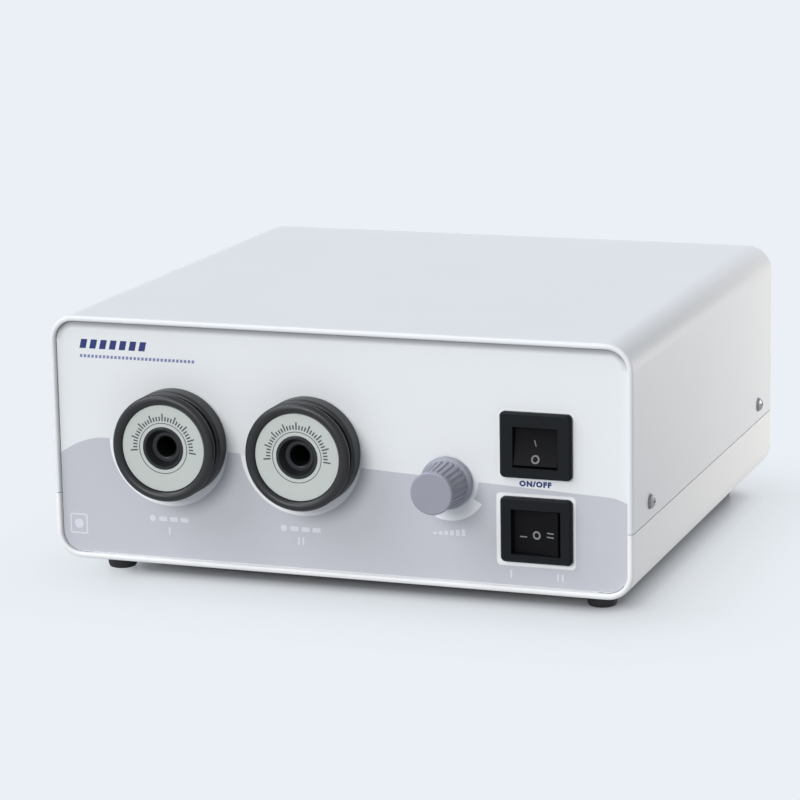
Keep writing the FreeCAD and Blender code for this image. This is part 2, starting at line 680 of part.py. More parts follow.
def lamp_bracket():
    """One folded plate that both lamp rims press against from behind."""
    x0, x1 = PORT_X[0] - LAMP_R - 4, PORT_X[1] + LAMP_R + 4
    y0, y1 = bracket_back() - BRACKET_T, bracket_back()
    plate = rounded_box(x0, x1, y0, y1, Z_FLOOR, Z_BASE + BRACKET_TOP, 3.0, Y_AXIS)
    foot = box(x0 + 3, x1 - 3, y0, y1 + FOLD_D, Z_FLOOR, Z_FLOOR + BRACKET_T)
    plate = joined(plate, foot)
    for x in PORT_X:
        plate = plate.cut(rod(x, Z_PORT, LAMP_R - 2.2, y0 - 1, y1 + 1))
    for x in bracket_screw_x():
        plate = plate.cut(post(x, y1 + FOLD_D / 2, M4_R + THREAD_CLEAR, Z_FLOOR - 1, Z_FLOOR + 3))
    return plate


CLIP_W = 8.0
CLIP_T = 0.8


def lamp_clips():
    """Spring tongues screwed to the bracket, one above and one below each lamp, that press on its rim."""
    clips = []
    y0 = bracket_back()
    rim_back = y0 + LAMP_RIM_T
    for x in PORT_X:
        for way in (-1, 1):
            def place(y, reach):
                return Vector(x - CLIP_W / 2, y, Z_PORT + way * reach)
            strip = outline(place, (y0, LAMP_R + 1), (y0, LAMP_R + 6), (y0 + CLIP_T, LAMP_R + 6),
                            (y0 + CLIP_T, LAMP_R + 1 + CLIP_T), (rim_back + CLIP_T, LAMP_R + 1 + CLIP_T),
                            (rim_back + CLIP_T, LAMP_R - 1), (rim_back, LAMP_R - 1), (rim_back, LAMP_R + 1))
            clips.append(strip.extrude(Vector(CLIP_W, 0, 0)))
    return clips


def partition_screw_y():
    return (Y_LIP + 45.0, Y_LIP + 135.0)


def partition():
    """The heat screen between the lamps and the electrical side, with a cable notch and a folded foot."""
    y0, y1 = Y_LIP + 30.0, Y_LIP + 150.0
    z1 = Z_TOP - SHEET - 6.0
    sheet = box(PARTITION_X, PARTITION_X + PARTITION_T, y0, y1, Z_FLOOR, z1)
    notch = rounded_box(PARTITION_X - 1, PARTITION_X + 3, y1 - 24, y1 - 8, z1 - 14, z1 + 8, 5.0, X_AXIS)
    sheet = sheet.cut(notch)
    for y in partition_screw_y():
        tab = box(PARTITION_X - FOLD_D, PARTITION_X + PARTITION_T, y - 8, y + 8, Z_FLOOR, Z_FLOOR + FOLD_T)
        sheet = joined(sheet, tab)
        sheet = sheet.cut(post(PARTITION_X - FOLD_D / 2, y, M4_R + THREAD_CLEAR, Z_FLOOR - 1, Z_FLOOR + 3))
    return sheet


# ---------------------------------------------------------------- intensity control
KNOB_NECK_R = 8.4
KNOB_BODY_FRONT = KNOB_REACH - 3.4
KNOB_SKIRT_T = 3.2
KNOB_CAVITY_R = 7.9
KNOB_CAVITY_D = 6.5
SHAFT_END = KNOB_REACH - 5.0
SHAFT_FLAT = 1.5  # the flat's distance from the shaft's axis


def knob_axis():
    return KNOB_X, Z_BASE + KNOB_Z


def intensity_knob():
    """A moulded knob: plain disc cap, groove, tapered body with scooped flutes, and a skirt."""
    x, z = knob_axis()
    skirt_front = KNOB_GAP + KNOB_SKIRT_T
    root_r = KNOB_SKIRT_R - 1.1
    cap_back = KNOB_REACH - 2.6
    bore = SHAFT_R + 0.02
    knob = turned(x, z, (KNOB_GAP, KNOB_CAVITY_R), (KNOB_GAP, KNOB_SKIRT_R),
                  (skirt_front - 0.6, KNOB_SKIRT_R),
                  (skirt_front, root_r), (KNOB_BODY_FRONT, KNOB_NECK_R + 0.4), (KNOB_BODY_FRONT, KNOB_NECK_R),
                  (cap_back, KNOB_NECK_R), (cap_back, KNOB_CAP_R),
                  (KNOB_REACH - 0.8, KNOB_CAP_R), ((KNOB_REACH - 0.23, KNOB_CAP_R - 0.23),
                                                   (KNOB_REACH, KNOB_CAP_R - 0.8)),
                  (KNOB_REACH, 0), (SHAFT_END, 0), (SHAFT_END, bore), (KNOB_CAVITY_D, bore),
                  (KNOB_CAVITY_D, KNOB_CAVITY_R))
    start, end = skirt_front + 1.3, KNOB_BODY_FRONT + 0.3
    lean = math.degrees(math.atan((root_r - KNOB_NECK_R - 0.4) / (KNOB_BODY_FRONT - skirt_front)))
    cutter = Part.makeCylinder(KNOB_FLUTE_R, end - start + 1, Vector(), -Y_AXIS)
    cutter = cutter.fuse(Part.makeSphere(KNOB_FLUTE_R))
    cutter.rotate(Vector(), X_AXIS, lean)
    cutter.translate(Vector(x, Y_SKIN - start, z + root_r + 0.15))
    for k in range(KNOB_FLUTES):
        flute = cutter.copy()
        flute.rotate(Vector(x, 0, z), Y_AXIS, 360.0 * k / KNOB_FLUTES)
        knob = knob.cut(flute)
    rib = box(x - bore, x + bore, Y_SKIN - SHAFT_END, Y_SKIN - KNOB_CAVITY_D - 4,
              z + SHAFT_FLAT + 0.02, z + bore)
    return joined(knob, rib.common(rod(x, z, bore, Y_SKIN - SHAFT_END, Y_SKIN)))


def potentiometer_shaft():
    x, z = knob_axis()
    shaft = rod(x, z, SHAFT_R, Y_SKIN - SHAFT_END + 0.3, Y_PANEL_IN + 7)
    flat = box(x - 5, x + 5, Y_SKIN - SHAFT_END, Y_SKIN - KNOB_CAVITY_D - 3.5, z + SHAFT_FLAT, z + 5)
    return shaft.cut(flat)


def potentiometer_body():
    """The control's can and threaded bushing, with three solder lugs below."""
    x, z = knob_axis()
    can = rod(x, z, POT_R, Y_PANEL_IN, Y_PANEL_IN + POT_D)
    body = joined(can, rod(x, z, BUSHING_R, Y_SKIN - 4.5, Y_PANEL_IN))
    body = body.cut(rod(x, z, SHAFT_R + SHAFT_RUN, Y_SKIN - 6, Y_PANEL_IN + 7.2))
    for k in (-1, 0, 1):
        lug = box(x + 5 * k - 1.2, x + 5 * k + 1.2, Y_PANEL_IN + 3, Y_PANEL_IN + 3.8,
                  z - POT_R - 6, z - POT_R + 3)
        body = joined(body, lug)
    return body


# ---------------------------------------------------------------- rocker switches
def rocker_frame(z_centre, upright):
    """Pivot point of a switch's rocker, and the direction of its pivot line."""
    pivot = Vector(SWITCH_X, Y_SKIN + ROCKER_PIVOT, Z_BASE + z_centre - ROCKER_DROP)
    return pivot, (X_AXIS if upright else Z_AXIS)


def rocker_sizes(opening, upright):
    """Swing radius of the rocker's ends and half its length along the pivot line."""
    across, along = (opening[1], opening[0]) if upright else opening
    return across / 2 - ROCKER_GAP, along / 2 - ROCKER_GAP


def rocker(z_centre, opening, upright):
    """A rocker with round ends, a dished face and two trunnions, tilted to its stop."""
    pivot, line = rocker_frame(z_centre, upright)
    swing, half = rocker_sizes(opening, upright)
    crest = ROCKER_CREST + ROCKER_PIVOT
    tip = math.sqrt(swing**2 - crest**2)
    low = -4.0
    foot = 0.55 * math.sqrt(swing**2 - low**2)
    waist = math.sqrt(swing**2 - low**2)

    def place(out, side):
        offset = Vector(0, -out, side) if upright else Vector(side, -out, 0)
        return pivot + offset - line * half

    face = outline(place, (crest, -tip), ((crest - ROCKER_DISH, 0), (crest, tip)), ((0, swing), (low, waist)),
                   (low - 3, foot), (low - 3, -foot), (low, -waist), ((0, -swing), (crest, -tip)))
    body = face.extrude(line * (2 * half))
    reach = half + TRUNNION_LEN
    pins = Part.makeCylinder(TRUNNION_R, 2 * reach, pivot - line * reach, line)
    body = joined(body, pins)
    body.rotate(pivot, line, -ROCKER_TILT)
    return body


def switch_housing(z_centre, opening, upright):
    """Bevelled bezel and deep body with the rocker's well, trunnion seats and snap fingers."""
    z_mid = Z_BASE + z_centre
    front = Y_SKIN - SWITCH_BEZEL_T
    bezel = rounded_plate(SWITCH_X, z_mid, SWITCH_W, SWITCH_H, 2.0, front, Y_SKIN)
    rim = [e for e in bezel.Edges if abs(e.CenterOfMass.y - front) < 0.01]
    bezel = bezel.makeChamfer(0.9, rim)
    half_w, half_h = SWITCH_BODY_W / 2, SWITCH_BODY_H / 2
    back = Y_SKIN + SWITCH_BODY_D
    body = box(SWITCH_X - half_w, SWITCH_X + half_w, Y_SKIN, back, z_mid - half_h, z_mid + half_h)
    snap_y = Y_SKIN + PANEL_DEPTH + 0.2
    for side in (-1, 1):
        finger = outline(lambda x, y: Vector(SWITCH_X + side * x, y, z_mid - 3), (half_w - 0.5, snap_y),
                         (half_w + 0.9, snap_y), (half_w - 0.5, snap_y + 8)).extrude(Vector(0, 0, 6))
        body = body.fuse(finger)
    pivot, line = rocker_frame(z_centre, upright)
    well_d = rocker_sizes(opening, upright)[0] + ROCKER_PIVOT + 0.5
    well = box(SWITCH_X - opening[0] / 2, SWITCH_X + opening[0] / 2, front - 1, Y_SKIN + well_d,
               pivot.z - opening[1] / 2, pivot.z + opening[1] / 2)
    half = rocker_sizes(opening, upright)[1] + TRUNNION_LEN + 0.1
    seats = Part.makeCylinder(TRUNNION_R + SHAFT_RUN, 2 * half, pivot - line * half, line)
    return joined(bezel, body).cut(well).cut(seats)


TERMINAL_W, TERMINAL_T, TERMINAL_LEN = 6.3, 0.8, 8.0


def switch_terminals():
    """Blade terminals: two rows of two on the power switch, two rows of three on the selector."""
    blades = []
    y0 = Y_SKIN + SWITCH_BODY_D
    for z_centre, columns in ((POWER_Z, (-1, 1)), (SELECTOR_Z, (-1, 0, 1))):
        for row in (-1, 1):
            for column in columns:
                x, z = SWITCH_X + column * 8.5, Z_BASE + z_centre + row * 5.5
                blades.append(box(x - TERMINAL_T / 2, x + TERMINAL_T / 2, y0, y0 + TERMINAL_LEN,
                                  z - TERMINAL_W / 2, z + TERMINAL_W / 2))
    return blades


# ---------------------------------------------------------------- cooling fan
def fan_centre():
    return FAN_X, Z_MID


FAN_ARM_T = 3.0
FAN_PIN_R = 1.5


def fan_frame():
    """Square flanges, a duct between them, corner pillars, and the motor cup on four arms at the back."""
    x, z = fan_centre()
    y1 = Y_REAR_IN
    y0 = y1 - FAN_D
    frame = rounded_plate(x, z, FAN_SIZE, FAN_SIZE, 4.0, y0, y1)
    waist = box(x - FAN_SIZE, x + FAN_SIZE, y0 + 4, y1 - 4, z - FAN_SIZE, z + FAN_SIZE)
    waist = waist.cut(rod(x, z, FAN_BORE_R + 1.6, y0, y1))
    for px, pz in fan_screw_places():
        waist = waist.cut(rod(px, pz, M4_R + 1.8, y0, y1))
    frame = frame.cut(waist).cut(rod(x, z, FAN_BORE_R, y0 - 1, y1 + 1))
    cup = rod(x, z, FAN_HUB_R, y1 - FAN_ARM_T, y1)
    arms = []
    for k in range(4):
        arm = box(x - 2, x + 2, y1 - FAN_ARM_T, y1, z + 10, z + FAN_BORE_R + 0.8)
        arm.rotate(Vector(x, 0, z), Y_AXIS, 45 + 90 * k)
        arms.append(arm)
    frame = joined(frame, cup, *arms)
    frame = frame.cut(rod(x, z, FAN_PIN_R + SHAFT_RUN, y1 - FAN_ARM_T - 1, y1 + 1))
    for px, pz in fan_screw_places():
        frame = frame.cut(rod(px, pz, M4_R + THREAD_CLEAR, y0 - 1, y1 + 1))
    return frame


def blade_section(radius, chord, pitch, thickness, centre_y):
    """A thin slanted rectangle across the fan's radius, for one end of a blade."""
    x, z = fan_centre()
    angle = math.radians(pitch)
    along = Vector(math.cos(angle), math.sin(angle), 0) * (chord / 2)
    across = Vector(-math.sin(angle), math.cos(angle), 0) * (thickness / 2)
    centre = Vector(x, centre_y, z + radius)
    corners = [centre + along + across, centre - along + across,
               centre - along - across, centre + along - across]
    return Part.makePolygon(corners + corners[:1])


def fan_rotor():
    x, z = fan_centre()
    y1 = Y_REAR_IN - FAN_ARM_T - 0.6
    y0 = Y_REAR_IN - FAN_D + 1.5
    hub = rod(x, z, FAN_HUB_R, y0, y1)
    front_rim = [e for e in hub.Edges if abs(e.CenterOfMass.y - y0) < 0.01]
    hub = hub.makeFillet(2.0, front_rim)
    middle = (y0 + y1) / 2
    root = blade_section(FAN_HUB_R - 1.5, 15.0, 52.0, 1.4, middle)
    tip = blade_section(FAN_TIP_R - 0.6, 24.0, 32.0, 1.1, middle)
    blade = Part.makeLoft([root, tip], True, True)
    blades = []
    for k in range(FAN_BLADES):
        turn = blade.copy()
        turn.rotate(Vector(x, 0, z), Y_AXIS, 360.0 * k / FAN_BLADES)
        blades.append(turn)
    return joined(hub, rod(x, z, FAN_PIN_R, y1, Y_REAR_IN), *blades)


GUARD_RINGS = [FAN_BORE_R - 5.0 - 8.0 * k for k in (3, 2, 1, 0)]
GUARD_EYE_R = 4.0


def guard_ring(radius):
    """One ring of eight-sided wire at the guard's outer face."""
    x, z = fan_centre()
    y = Y_REAR + GUARD_RISE - GUARD_WIRE_R
    half, cut = GUARD_WIRE_R, GUARD_WIRE_R * math.tan(math.pi / 8)
    corners = [(half, cut), (cut, half), (-cut, half), (-half, cut),
               (-half, -cut), (-cut, -half), (cut, -half),
               (half, -cut)]
    section = outline(lambda u, v: Vector(x + radius + u, y + v, z), *corners)
    return section.revolve(Vector(x, 0, z), Y_AXIS, 360)


def fan_guard():
    """A welded wire guard: rings on four bent arms that end in flattened screw eyes."""
    x, z = fan_centre()
    width = GUARD_WIRE_R
    top = Y_REAR + GUARD_RISE - 1.5 * GUARD_WIRE_R
    low, flat = top - 2 * GUARD_WIRE_R, Y_REAR + 2 * GUARD_WIRE_R
    eye_r = math.sqrt(2) * (FAN_SIZE / 2 - FAN_EAR)
    knee, foot = GUARD_RINGS[-1] + 2.5, eye_r - GUARD_EYE_R - 2.0
    arm = outline(lambda r, y: Vector(x - width, y, z + r),
                  (GUARD_RINGS[0] - 2, low), (knee, low), (foot, Y_REAR), (eye_r, Y_REAR),
                  (eye_r, flat), (foot + 1, flat), (knee + 0.7, top), (GUARD_RINGS[0] - 2, top))
    arm = arm.extrude(Vector(2 * width, 0, 0))
    eye = rod(x, z + eye_r, GUARD_EYE_R, Y_REAR, flat)
    arm = arm.fuse(eye).cut(rod(x, z + eye_r, M4_R + HOLE_CLEAR, Y_REAR - 1, flat + 1))
    arms = []
    for k in range(4):
        turn = arm.copy()
        turn.rotate(Vector(x, 0, z), Y_AXIS, 45 + 90 * k)
        arms.append(turn)
    return joined(*[guard_ring(radius) for radius in GUARD_RINGS], *arms)


def fan_screws():
    seat = Y_REAR + 2 * GUARD_WIRE_R
    screw = pan_screw(M4_R, M4_HEAD_R, seat - Y_REAR_IN + 12.0)
    return [placed(screw, x, seat, z, Y_AXIS) for x, z in fan_screw_places()]


# ---------------------------------------------------------------- appliance inlet
def inlet_face():
    return Y_REAR + INLET_T


def recess_z():
    return Z_BASE + INLET_Z - INLET_BODY_H / 2 + INLET_RIM + RECESS_H / 2


def drawer_z():
    return Z_BASE + INLET_Z + INLET_BODY_H / 2 - INLET_RIM - DRAWER_H / 2


def mains_pins():
    """Line, neutral and earth: square-edged pins in the recess that run through to tabs at the back."""
    tip = inlet_face() - MAINS_PIN_TIP
    root = inlet_face() - INLET_BODY_D - 8.0
    pins = []
    for column, rise in ((-1, -2.0), (0, 2.0), (1, -2.0)):
        x, z = INLET_X + column * MAINS_PIN_PITCH, recess_z() + rise
        pins.append(box(x - 1, x + 1, root, tip, z - 2, z + 2))
    return pins


def fuse_drawer_cutter(clearance, y0):
    half_w, half_h = DRAWER_W / 2 + clearance, DRAWER_H / 2 + clearance
    z = drawer_z()
    return box(INLET_X - half_w, INLET_X + half_w, y0, inlet_face() + 1, z - half_h, z + half_h)


def inlet_body():
    """Flange with screw ears, shrouded recess with two cut corners, and a pocket for the fuse drawer."""
    z_mid = Z_BASE + INLET_Z
    width, height = INLET_EAR + 2 * INLET_EAR_ROOM, INLET_BODY_H + 2 * INLET_MARGIN
    flange = rounded_plate(INLET_X, z_mid, width, height, 4.0, Y_REAR, inlet_face())
    back = inlet_face() - INLET_BODY_D
    half_w, half_h = INLET_BODY_W / 2, INLET_BODY_H / 2
    block = box(INLET_X - half_w, INLET_X + half_w, back, Y_REAR, z_mid - half_h, z_mid + half_h)
    body = joined(flange, block)
    rw, rh, zr = RECESS_W / 2, RECESS_H / 2, recess_z()
    recess = outline(lambda x, z: Vector(INLET_X + x, inlet_face() - RECESS_D, zr + z),
                     (-rw, -rh), (rw, -rh), (rw, rh - RECESS_CUT), (rw - RECESS_CUT, rh),
                     (RECESS_CUT - rw, rh), (-rw, rh - RECESS_CUT))
    body = body.cut(recess.extrude(Vector(0, RECESS_D + 1, 0)))
    body = body.cut(fuse_drawer_cutter(0.15, inlet_face() - DRAWER_D - 1))
    for pin in mains_pins():
        body = body.cut(pin)
    for x in inlet_screw_x():
        body = body.cut(rod(x, z_mid, M3_R + HOLE_CLEAR, Y_REAR - 1, inlet_face() + 1))
    return body


DRAWER_WALL = 0.9


def fuse_places():
    """Y of the working fuse and of the spare in front of it."""
    y0 = inlet_face() - DRAWER_D + DRAWER_WALL + FUSE_R + FIT
    return (y0, y0 + 2 * FUSE_R + 1.5)


def fuse_drawer():
    """A sliding drawer with a fingernail notch and two cross troughs for the fuses."""
    z = drawer_z()
    half_w, half_h = DRAWER_W / 2, DRAWER_H / 2
    drawer = box(INLET_X - half_w, INLET_X + half_w, inlet_face() - DRAWER_D, inlet_face(),
                 z - half_h, z + half_h)
    for y in fuse_places():
        trough_r = FUSE_R + FIT
        half = FUSE_LEN / 2 + FIT
        opening = box(INLET_X - half, INLET_X + half, y - trough_r, y + trough_r, z, z + half_h + 1)
        drawer = drawer.cut(opening)
        drawer = drawer.cut(Part.makeCylinder(trough_r, 2 * half, Vector(INLET_X - half, y, z), X_AXIS))
    notch = Part.makeCylinder(3.0, 8.0, Vector(INLET_X - 4, inlet_face() + 1.2, z + half_h), X_AXIS)
    return drawer.cut(notch)


def fuses():
    return [Part.makeCylinder(FUSE_R, FUSE_LEN, Vector(INLET_X - FUSE_LEN / 2, y, drawer_z()), X_AXIS)
            for y in fuse_places()]


def inlet_screws():
    """Two screws through the flange's ears, each with its nut inside the panel."""
    z = Z_BASE + INLET_Z
    screw = pan_screw(M3_R, M3_HEAD_R, INLET_T + REAR_T + 5.0)
    nut = hexagon(5.5, 2.4, M3_R + THREAD_CLEAR)
    screws = [placed(screw, x, inlet_face(), z, Y_AXIS) for x in inlet_screw_x()]
    return screws + [placed(nut, x, Y_REAR_IN, z, -Y_AXIS) for x in inlet_screw_x()]


# ---------------------------------------------------------------- transformer
TOROID_BOTTOM = Z_FLOOR + PAD_T
TOROID_TOP = TOROID_BOTTOM + TOROID_H
PLATE_DISH = 2.0
WASHER_R = TOROID_R - 10.0


def transformer():
    """A wound ring core, as one rounded ring of winding."""
    r0, r1, rr = TOROID_HOLE_R, TOROID_R, TOROID_ROUND
    z0, z1 = TOROID_BOTTOM, TOROID_TOP
    nip = rr * (1 - math.sqrt(0.5))
    return turned_up(TOROID_X, Y_LIP + TOROID_Y, (r0 + rr, z0), (r1 - rr, z0),
                     (r1 - nip, z0 + nip), (r1, z0 + rr),
                     (r1, z1 - rr), (r1 - nip, z1 - nip), (r1 - rr, z1), (r0 + rr, z1),
                     (r0 + nip, z1 - nip), (r0, z1 - rr), (r0, z0 + rr), (r0 + nip, z0 + nip))


def transformer_pads():
    """Rubber discs under and over the winding."""
    y = Y_LIP + TOROID_Y
    hole = BOLT_R + HOLE_CLEAR
    return [post(TOROID_X, y, WASHER_R, z, z + PAD_T).cut(post(TOROID_X, y, hole, z, z + PAD_T))
            for z in (Z_FLOOR, TOROID_TOP)]


def transformer_washer():
    """The dished steel disc that the bolt pulls down on the winding."""
    z = TOROID_TOP + PAD_T
    hole = BOLT_R + HOLE_CLEAR
    seat, lip = 10.0, 17.0
    return turned_up(TOROID_X, Y_LIP + TOROID_Y, (hole, z), (seat + 1, z), (lip + 1, z + PLATE_DISH),
                     (WASHER_R - 1, z + PLATE_DISH), (WASHER_R - 1, z + PLATE_DISH + 1.5),
                     (lip, z + PLATE_DISH + 1.5), (seat, z + 1.5), (hole, z + 1.5))


def transformer_bolt():
    """The through bolt, head on the dished disc, and its nut under the floor."""
    y = Y_LIP + TOROID_Y
    seat = TOROID_TOP + PAD_T + 1.5
    low = Z_BASE - 6.5
    bolt = joined(post(TOROID_X, y, BOLT_R, low, seat + 1),
                  placed(hexagon(13.0, 5.3, 1.0), TOROID_X, y, seat, Z_AXIS),
                  post(TOROID_X, y, 1.5, seat, seat + 5.3))
    nut = placed(hexagon(13.0, 5.0, BOLT_R + THREAD_CLEAR), TOROID_X, y, Z_BASE, -Z_AXIS)
    return [bolt, nut]


# ---------------------------------------------------------------- dimmer board
def board_centre():
    return TOROID_X, Y_LIP + BOARD_Y


def standoff_places():
    x, y = board_centre()
    dx, dy = BOARD_W / 2 - STANDOFF_INSET, BOARD_L / 2 - STANDOFF_INSET
    return [(x + i * dx, y + k * dy) for i in (-1, 1) for k in (-1, 1)]


def dimmer_board():
    x, y = board_centre()
    z = Z_FLOOR + STANDOFF_H
    board = rounded_box(x - BOARD_W / 2, x + BOARD_W / 2, y - BOARD_L / 2, y + BOARD_L / 2, z, z + BOARD_T,
                        2.0, Z_AXIS)
    for px, py in standoff_places():
        board = board.cut(post(px, py, M3_R + HOLE_CLEAR, z - 1, z + BOARD_T + 1))
    return board


def board_standoffs():
    """Spacers, each with its screw through the board and a stud through the floor."""
    z = Z_FLOOR + STANDOFF_H
    pieces = []
    for x, y in standoff_places():
        spacer = joined(post(x, y, STANDOFF_R, Z_FLOOR, z), post(x, y, M3_R, Z_BASE - 2.5, Z_FLOOR))
        spacer = spacer.cut(post(x, y, M3_R + THREAD_CLEAR, z - 5, z + 1))
        pieces.append(spacer)
        pieces.append(placed(pan_screw(M3_R, M3_HEAD_R, BOARD_T + 4.5), x, y, z + BOARD_T, Z_AXIS))
    return pieces


def board_heat_sink():
    """A finned aluminium extrusion standing on the board."""
    x, y = board_centre()
    z = Z_FLOOR + STANDOFF_H + BOARD_T
    sink = box(x - 20, x + 20, y - 2, y + 1, z, z + 25)
    fins = [box(x - 20 + 5.4 * k, x - 18 + 5.4 * k, y, y + 14, z, z + 25) for k in range(8)]
    return joined(sink, *fins)


def board_components():
    """Triac on the heat sink, two capacitors, a choke and a terminal block."""
    x, y = board_centre()
    z = Z_FLOOR + STANDOFF_H + BOARD_T
    triac = box(x - 5, x + 5, y - 6.5, y - 2, z + 5, z + 20)
    legs = box(x - 4, x + 4, y - 4.8, y - 4, z, z + 5)
    cans = [post(x - 30, y - 6, 5.0, z, z + 16), post(x - 30, y + 6, 5.0, z, z + 16)]
    choke = post(x + 29, y + 4, 7.0, z, z + 9).cut(post(x + 29, y + 4, 3.0, z, z + 9))
    block = box(x - 12, x + 24, y - 18, y - 9, z, z + 10)
    for k in range(6):
        block = block.cut(post(x - 9 + 6 * k, y - 13.5, 1.9, z + 6, z + 11))
    return [joined(triac, legs), *cans, choke, block]


# ---------------------------------------------------------------- the assembly
save("top_cover", top_cover())
save("bottom_tray", bottom_tray())
save("front_panel", front_panel())
save("front_overlay", front_overlay())
save("rear_panel", rear_panel())
save("cover_screws", *cover_screws())
save("cover_washers", *cover_washers())
save("chassis_screws", *chassis_screws())
save("rubber_feet", *rubber_feet())

for number, port_x in enumerate(PORT_X, 1):
    save(f"port_{number}_bezel", port_bezel(port_x))
    save(f"port_{number}_face_plate", port_face_plate(port_x))
    save(f"port_{number}_socket", port_socket(port_x))
    save(f"port_{number}_filter_holder", filter_holder(port_x))
    save(f"port_{number}_heat_filter", heat_filter(port_x))
    save(f"lamp_{number}_reflector", lamp_reflector(port_x))
    save(f"lamp_{number}_capsule", lamp_capsule(port_x))
    save(f"lamp_{number}_base", lamp_base(port_x))
    save(f"lamp_{number}_socket", lamp_socket(port_x))
save("panel_nuts", *panel_nuts())
save("filter_rings", *filter_rings())
save("lamp_pins", *lamp_pins())
save("lamp_bracket", lamp_bracket())
save("lamp_clips", *lamp_clips())
save("lamp_partition", partition())

save("intensity_knob", intensity_knob())
save("potentiometer_shaft", potentiometer_shaft())
save("potentiometer_body", potentiometer_body())

save("power_switch_housing", switch_housing(POWER_Z, POWER_OPEN, True))
save("power_rocker", rocker(POWER_Z, POWER_OPEN, True))
save("selector_switch_housing", switch_housing(SELECTOR_Z, SELECTOR_OPEN, False))
save("selector_rocker", rocker(SELECTOR_Z, SELECTOR_OPEN, False))
save("switch_terminals", *switch_terminals())

save("fan_frame", fan_frame())
save("fan_rotor", fan_rotor())
save("fan_guard", fan_guard())
save("fan_screws", *fan_screws())

save("inlet_body", inlet_body())
save("inlet_pins", *mains_pins())
save("fuse_drawer", fuse_drawer())
save("fuses", *fuses())
save("inlet_screws", *inlet_screws())

save("transformer", transformer())
save("transformer_pads", *transformer_pads())
save("transformer_washer", transformer_washer())
save("transformer_bolt", *transformer_bolt())

save("dimmer_board", dimmer_board())
save("board_standoffs", *board_standoffs())
save("board_heat_sink", board_heat_sink())
save("board_components", *board_components())
print("origin: front lip at y =", round(Y_LIP, 3), "skin at y =", round(Y_SKIN, 3))
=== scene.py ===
# %% [markdown]
# # A fiber optic illuminator for the bench
# The instrument is a painted steel case with two light outlets, a dimmer knob and two rocker switches.
# Its solid shapes come from a CAD model and stay as they are. This lesson gives each piece the finish of
# the real material, adds what is printed on the front, and sets up floor, light and camera.

# %% Load the frame
import json
import math

import bmesh
import bpy
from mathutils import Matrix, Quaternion, Vector
from mathutils.bvhtree import BVHTree


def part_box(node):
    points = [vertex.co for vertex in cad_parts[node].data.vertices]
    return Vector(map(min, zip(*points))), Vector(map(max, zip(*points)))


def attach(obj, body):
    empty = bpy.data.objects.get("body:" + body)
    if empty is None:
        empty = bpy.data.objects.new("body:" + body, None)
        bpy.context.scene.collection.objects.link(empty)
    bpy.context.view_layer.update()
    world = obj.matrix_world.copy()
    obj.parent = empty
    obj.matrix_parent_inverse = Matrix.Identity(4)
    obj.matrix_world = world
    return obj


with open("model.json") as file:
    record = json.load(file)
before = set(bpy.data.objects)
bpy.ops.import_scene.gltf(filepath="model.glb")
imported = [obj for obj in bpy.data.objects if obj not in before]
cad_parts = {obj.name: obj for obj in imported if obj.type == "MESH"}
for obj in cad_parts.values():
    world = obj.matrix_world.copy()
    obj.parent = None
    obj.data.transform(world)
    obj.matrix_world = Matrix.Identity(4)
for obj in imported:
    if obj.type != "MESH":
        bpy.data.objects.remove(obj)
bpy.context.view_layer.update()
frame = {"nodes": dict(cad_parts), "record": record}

# %% [markdown]
# ## Millimetres
# Blender works in metres, but this object's details are millimetres or less, so every size below is
# written in millimetres and multiplied by `MM`. Places come from the frame: a print starts from the piece
# that carries it, so it stays right if the piece changes.

# %% Units and places
MM = 0.001
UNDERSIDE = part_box("bottom_tray")[0].z
FILM_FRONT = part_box("front_overlay")[0].y


def middle(node):
    """The centre of a CAD node, in millimetres: x, y and the height above the case's underside."""
    low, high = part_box(node)
    x, y, z = (low + high) / 2 / MM
    return Vector((x, y, z - UNDERSIDE / MM))


port_centres = [middle("port_1_face_plate"), middle("port_2_face_plate")]
knob_centre = middle("intensity_knob")
power_centre = middle("power_switch_housing")
print("outlet spacing", round(port_centres[1].x - port_centres[0].x, 1), "mm")

# %% [markdown]
# ## Colours and nodes
# Paint charts and screens give colours in sRGB, while the renderer adds up light in linear values. One
# function turns a hex colour to linear. Another adds a shader node with its settings and its links in one
# call, which keeps a material as short as the list of its steps.

# %% Hex colours to linear
def paint(hex_colour):
    """A linear RGBA colour from six sRGB hex digits."""
    channels = [int(hex_colour[k:k + 2], 16) / 255 for k in (0, 2, 4)]
    linear = [c / 12.92 if c <= 0.04045 else ((c + 0.055) / 1.055) ** 2.4 for c in channels]
    return (*linear, 1.0)


# %% One function that adds a node
def add(tree, kind, inputs=None, **settings):
    """A new node. Inputs are given by name or number, each a plain value or another node's output."""
    node = tree.nodes.new("ShaderNode" + kind)
    for name, value in settings.items():
        setattr(node, name, value)
    for socket, value in (inputs or {}).items():
        if isinstance(value, bpy.types.NodeSocket):
            tree.links.new(value, node.inputs[socket])
        else:
            node.inputs[socket].default_value = value
    return node


print("white is", paint("FFFFFF")[:3])

# %% [markdown]
# ## The recipe that all finishes share
# No real surface is one flat colour. Paint drifts a little in tone from patch to patch, and a fine grain
# breaks up its gloss. The recipe has three layers: soft patches between two near tones, a fine grain that
# moves the roughness, and the same grain as relief. The grain's width and height are real sizes, so the
# relief is as deep as it should be. Everything is measured in the object's own coordinates, which are
# metres here.

# %% The shared recipe
MIX_FACTOR, MIX_A, MIX_B, MIX_RESULT = 0, 6, 7, 2  # the colour sockets of a Mix node


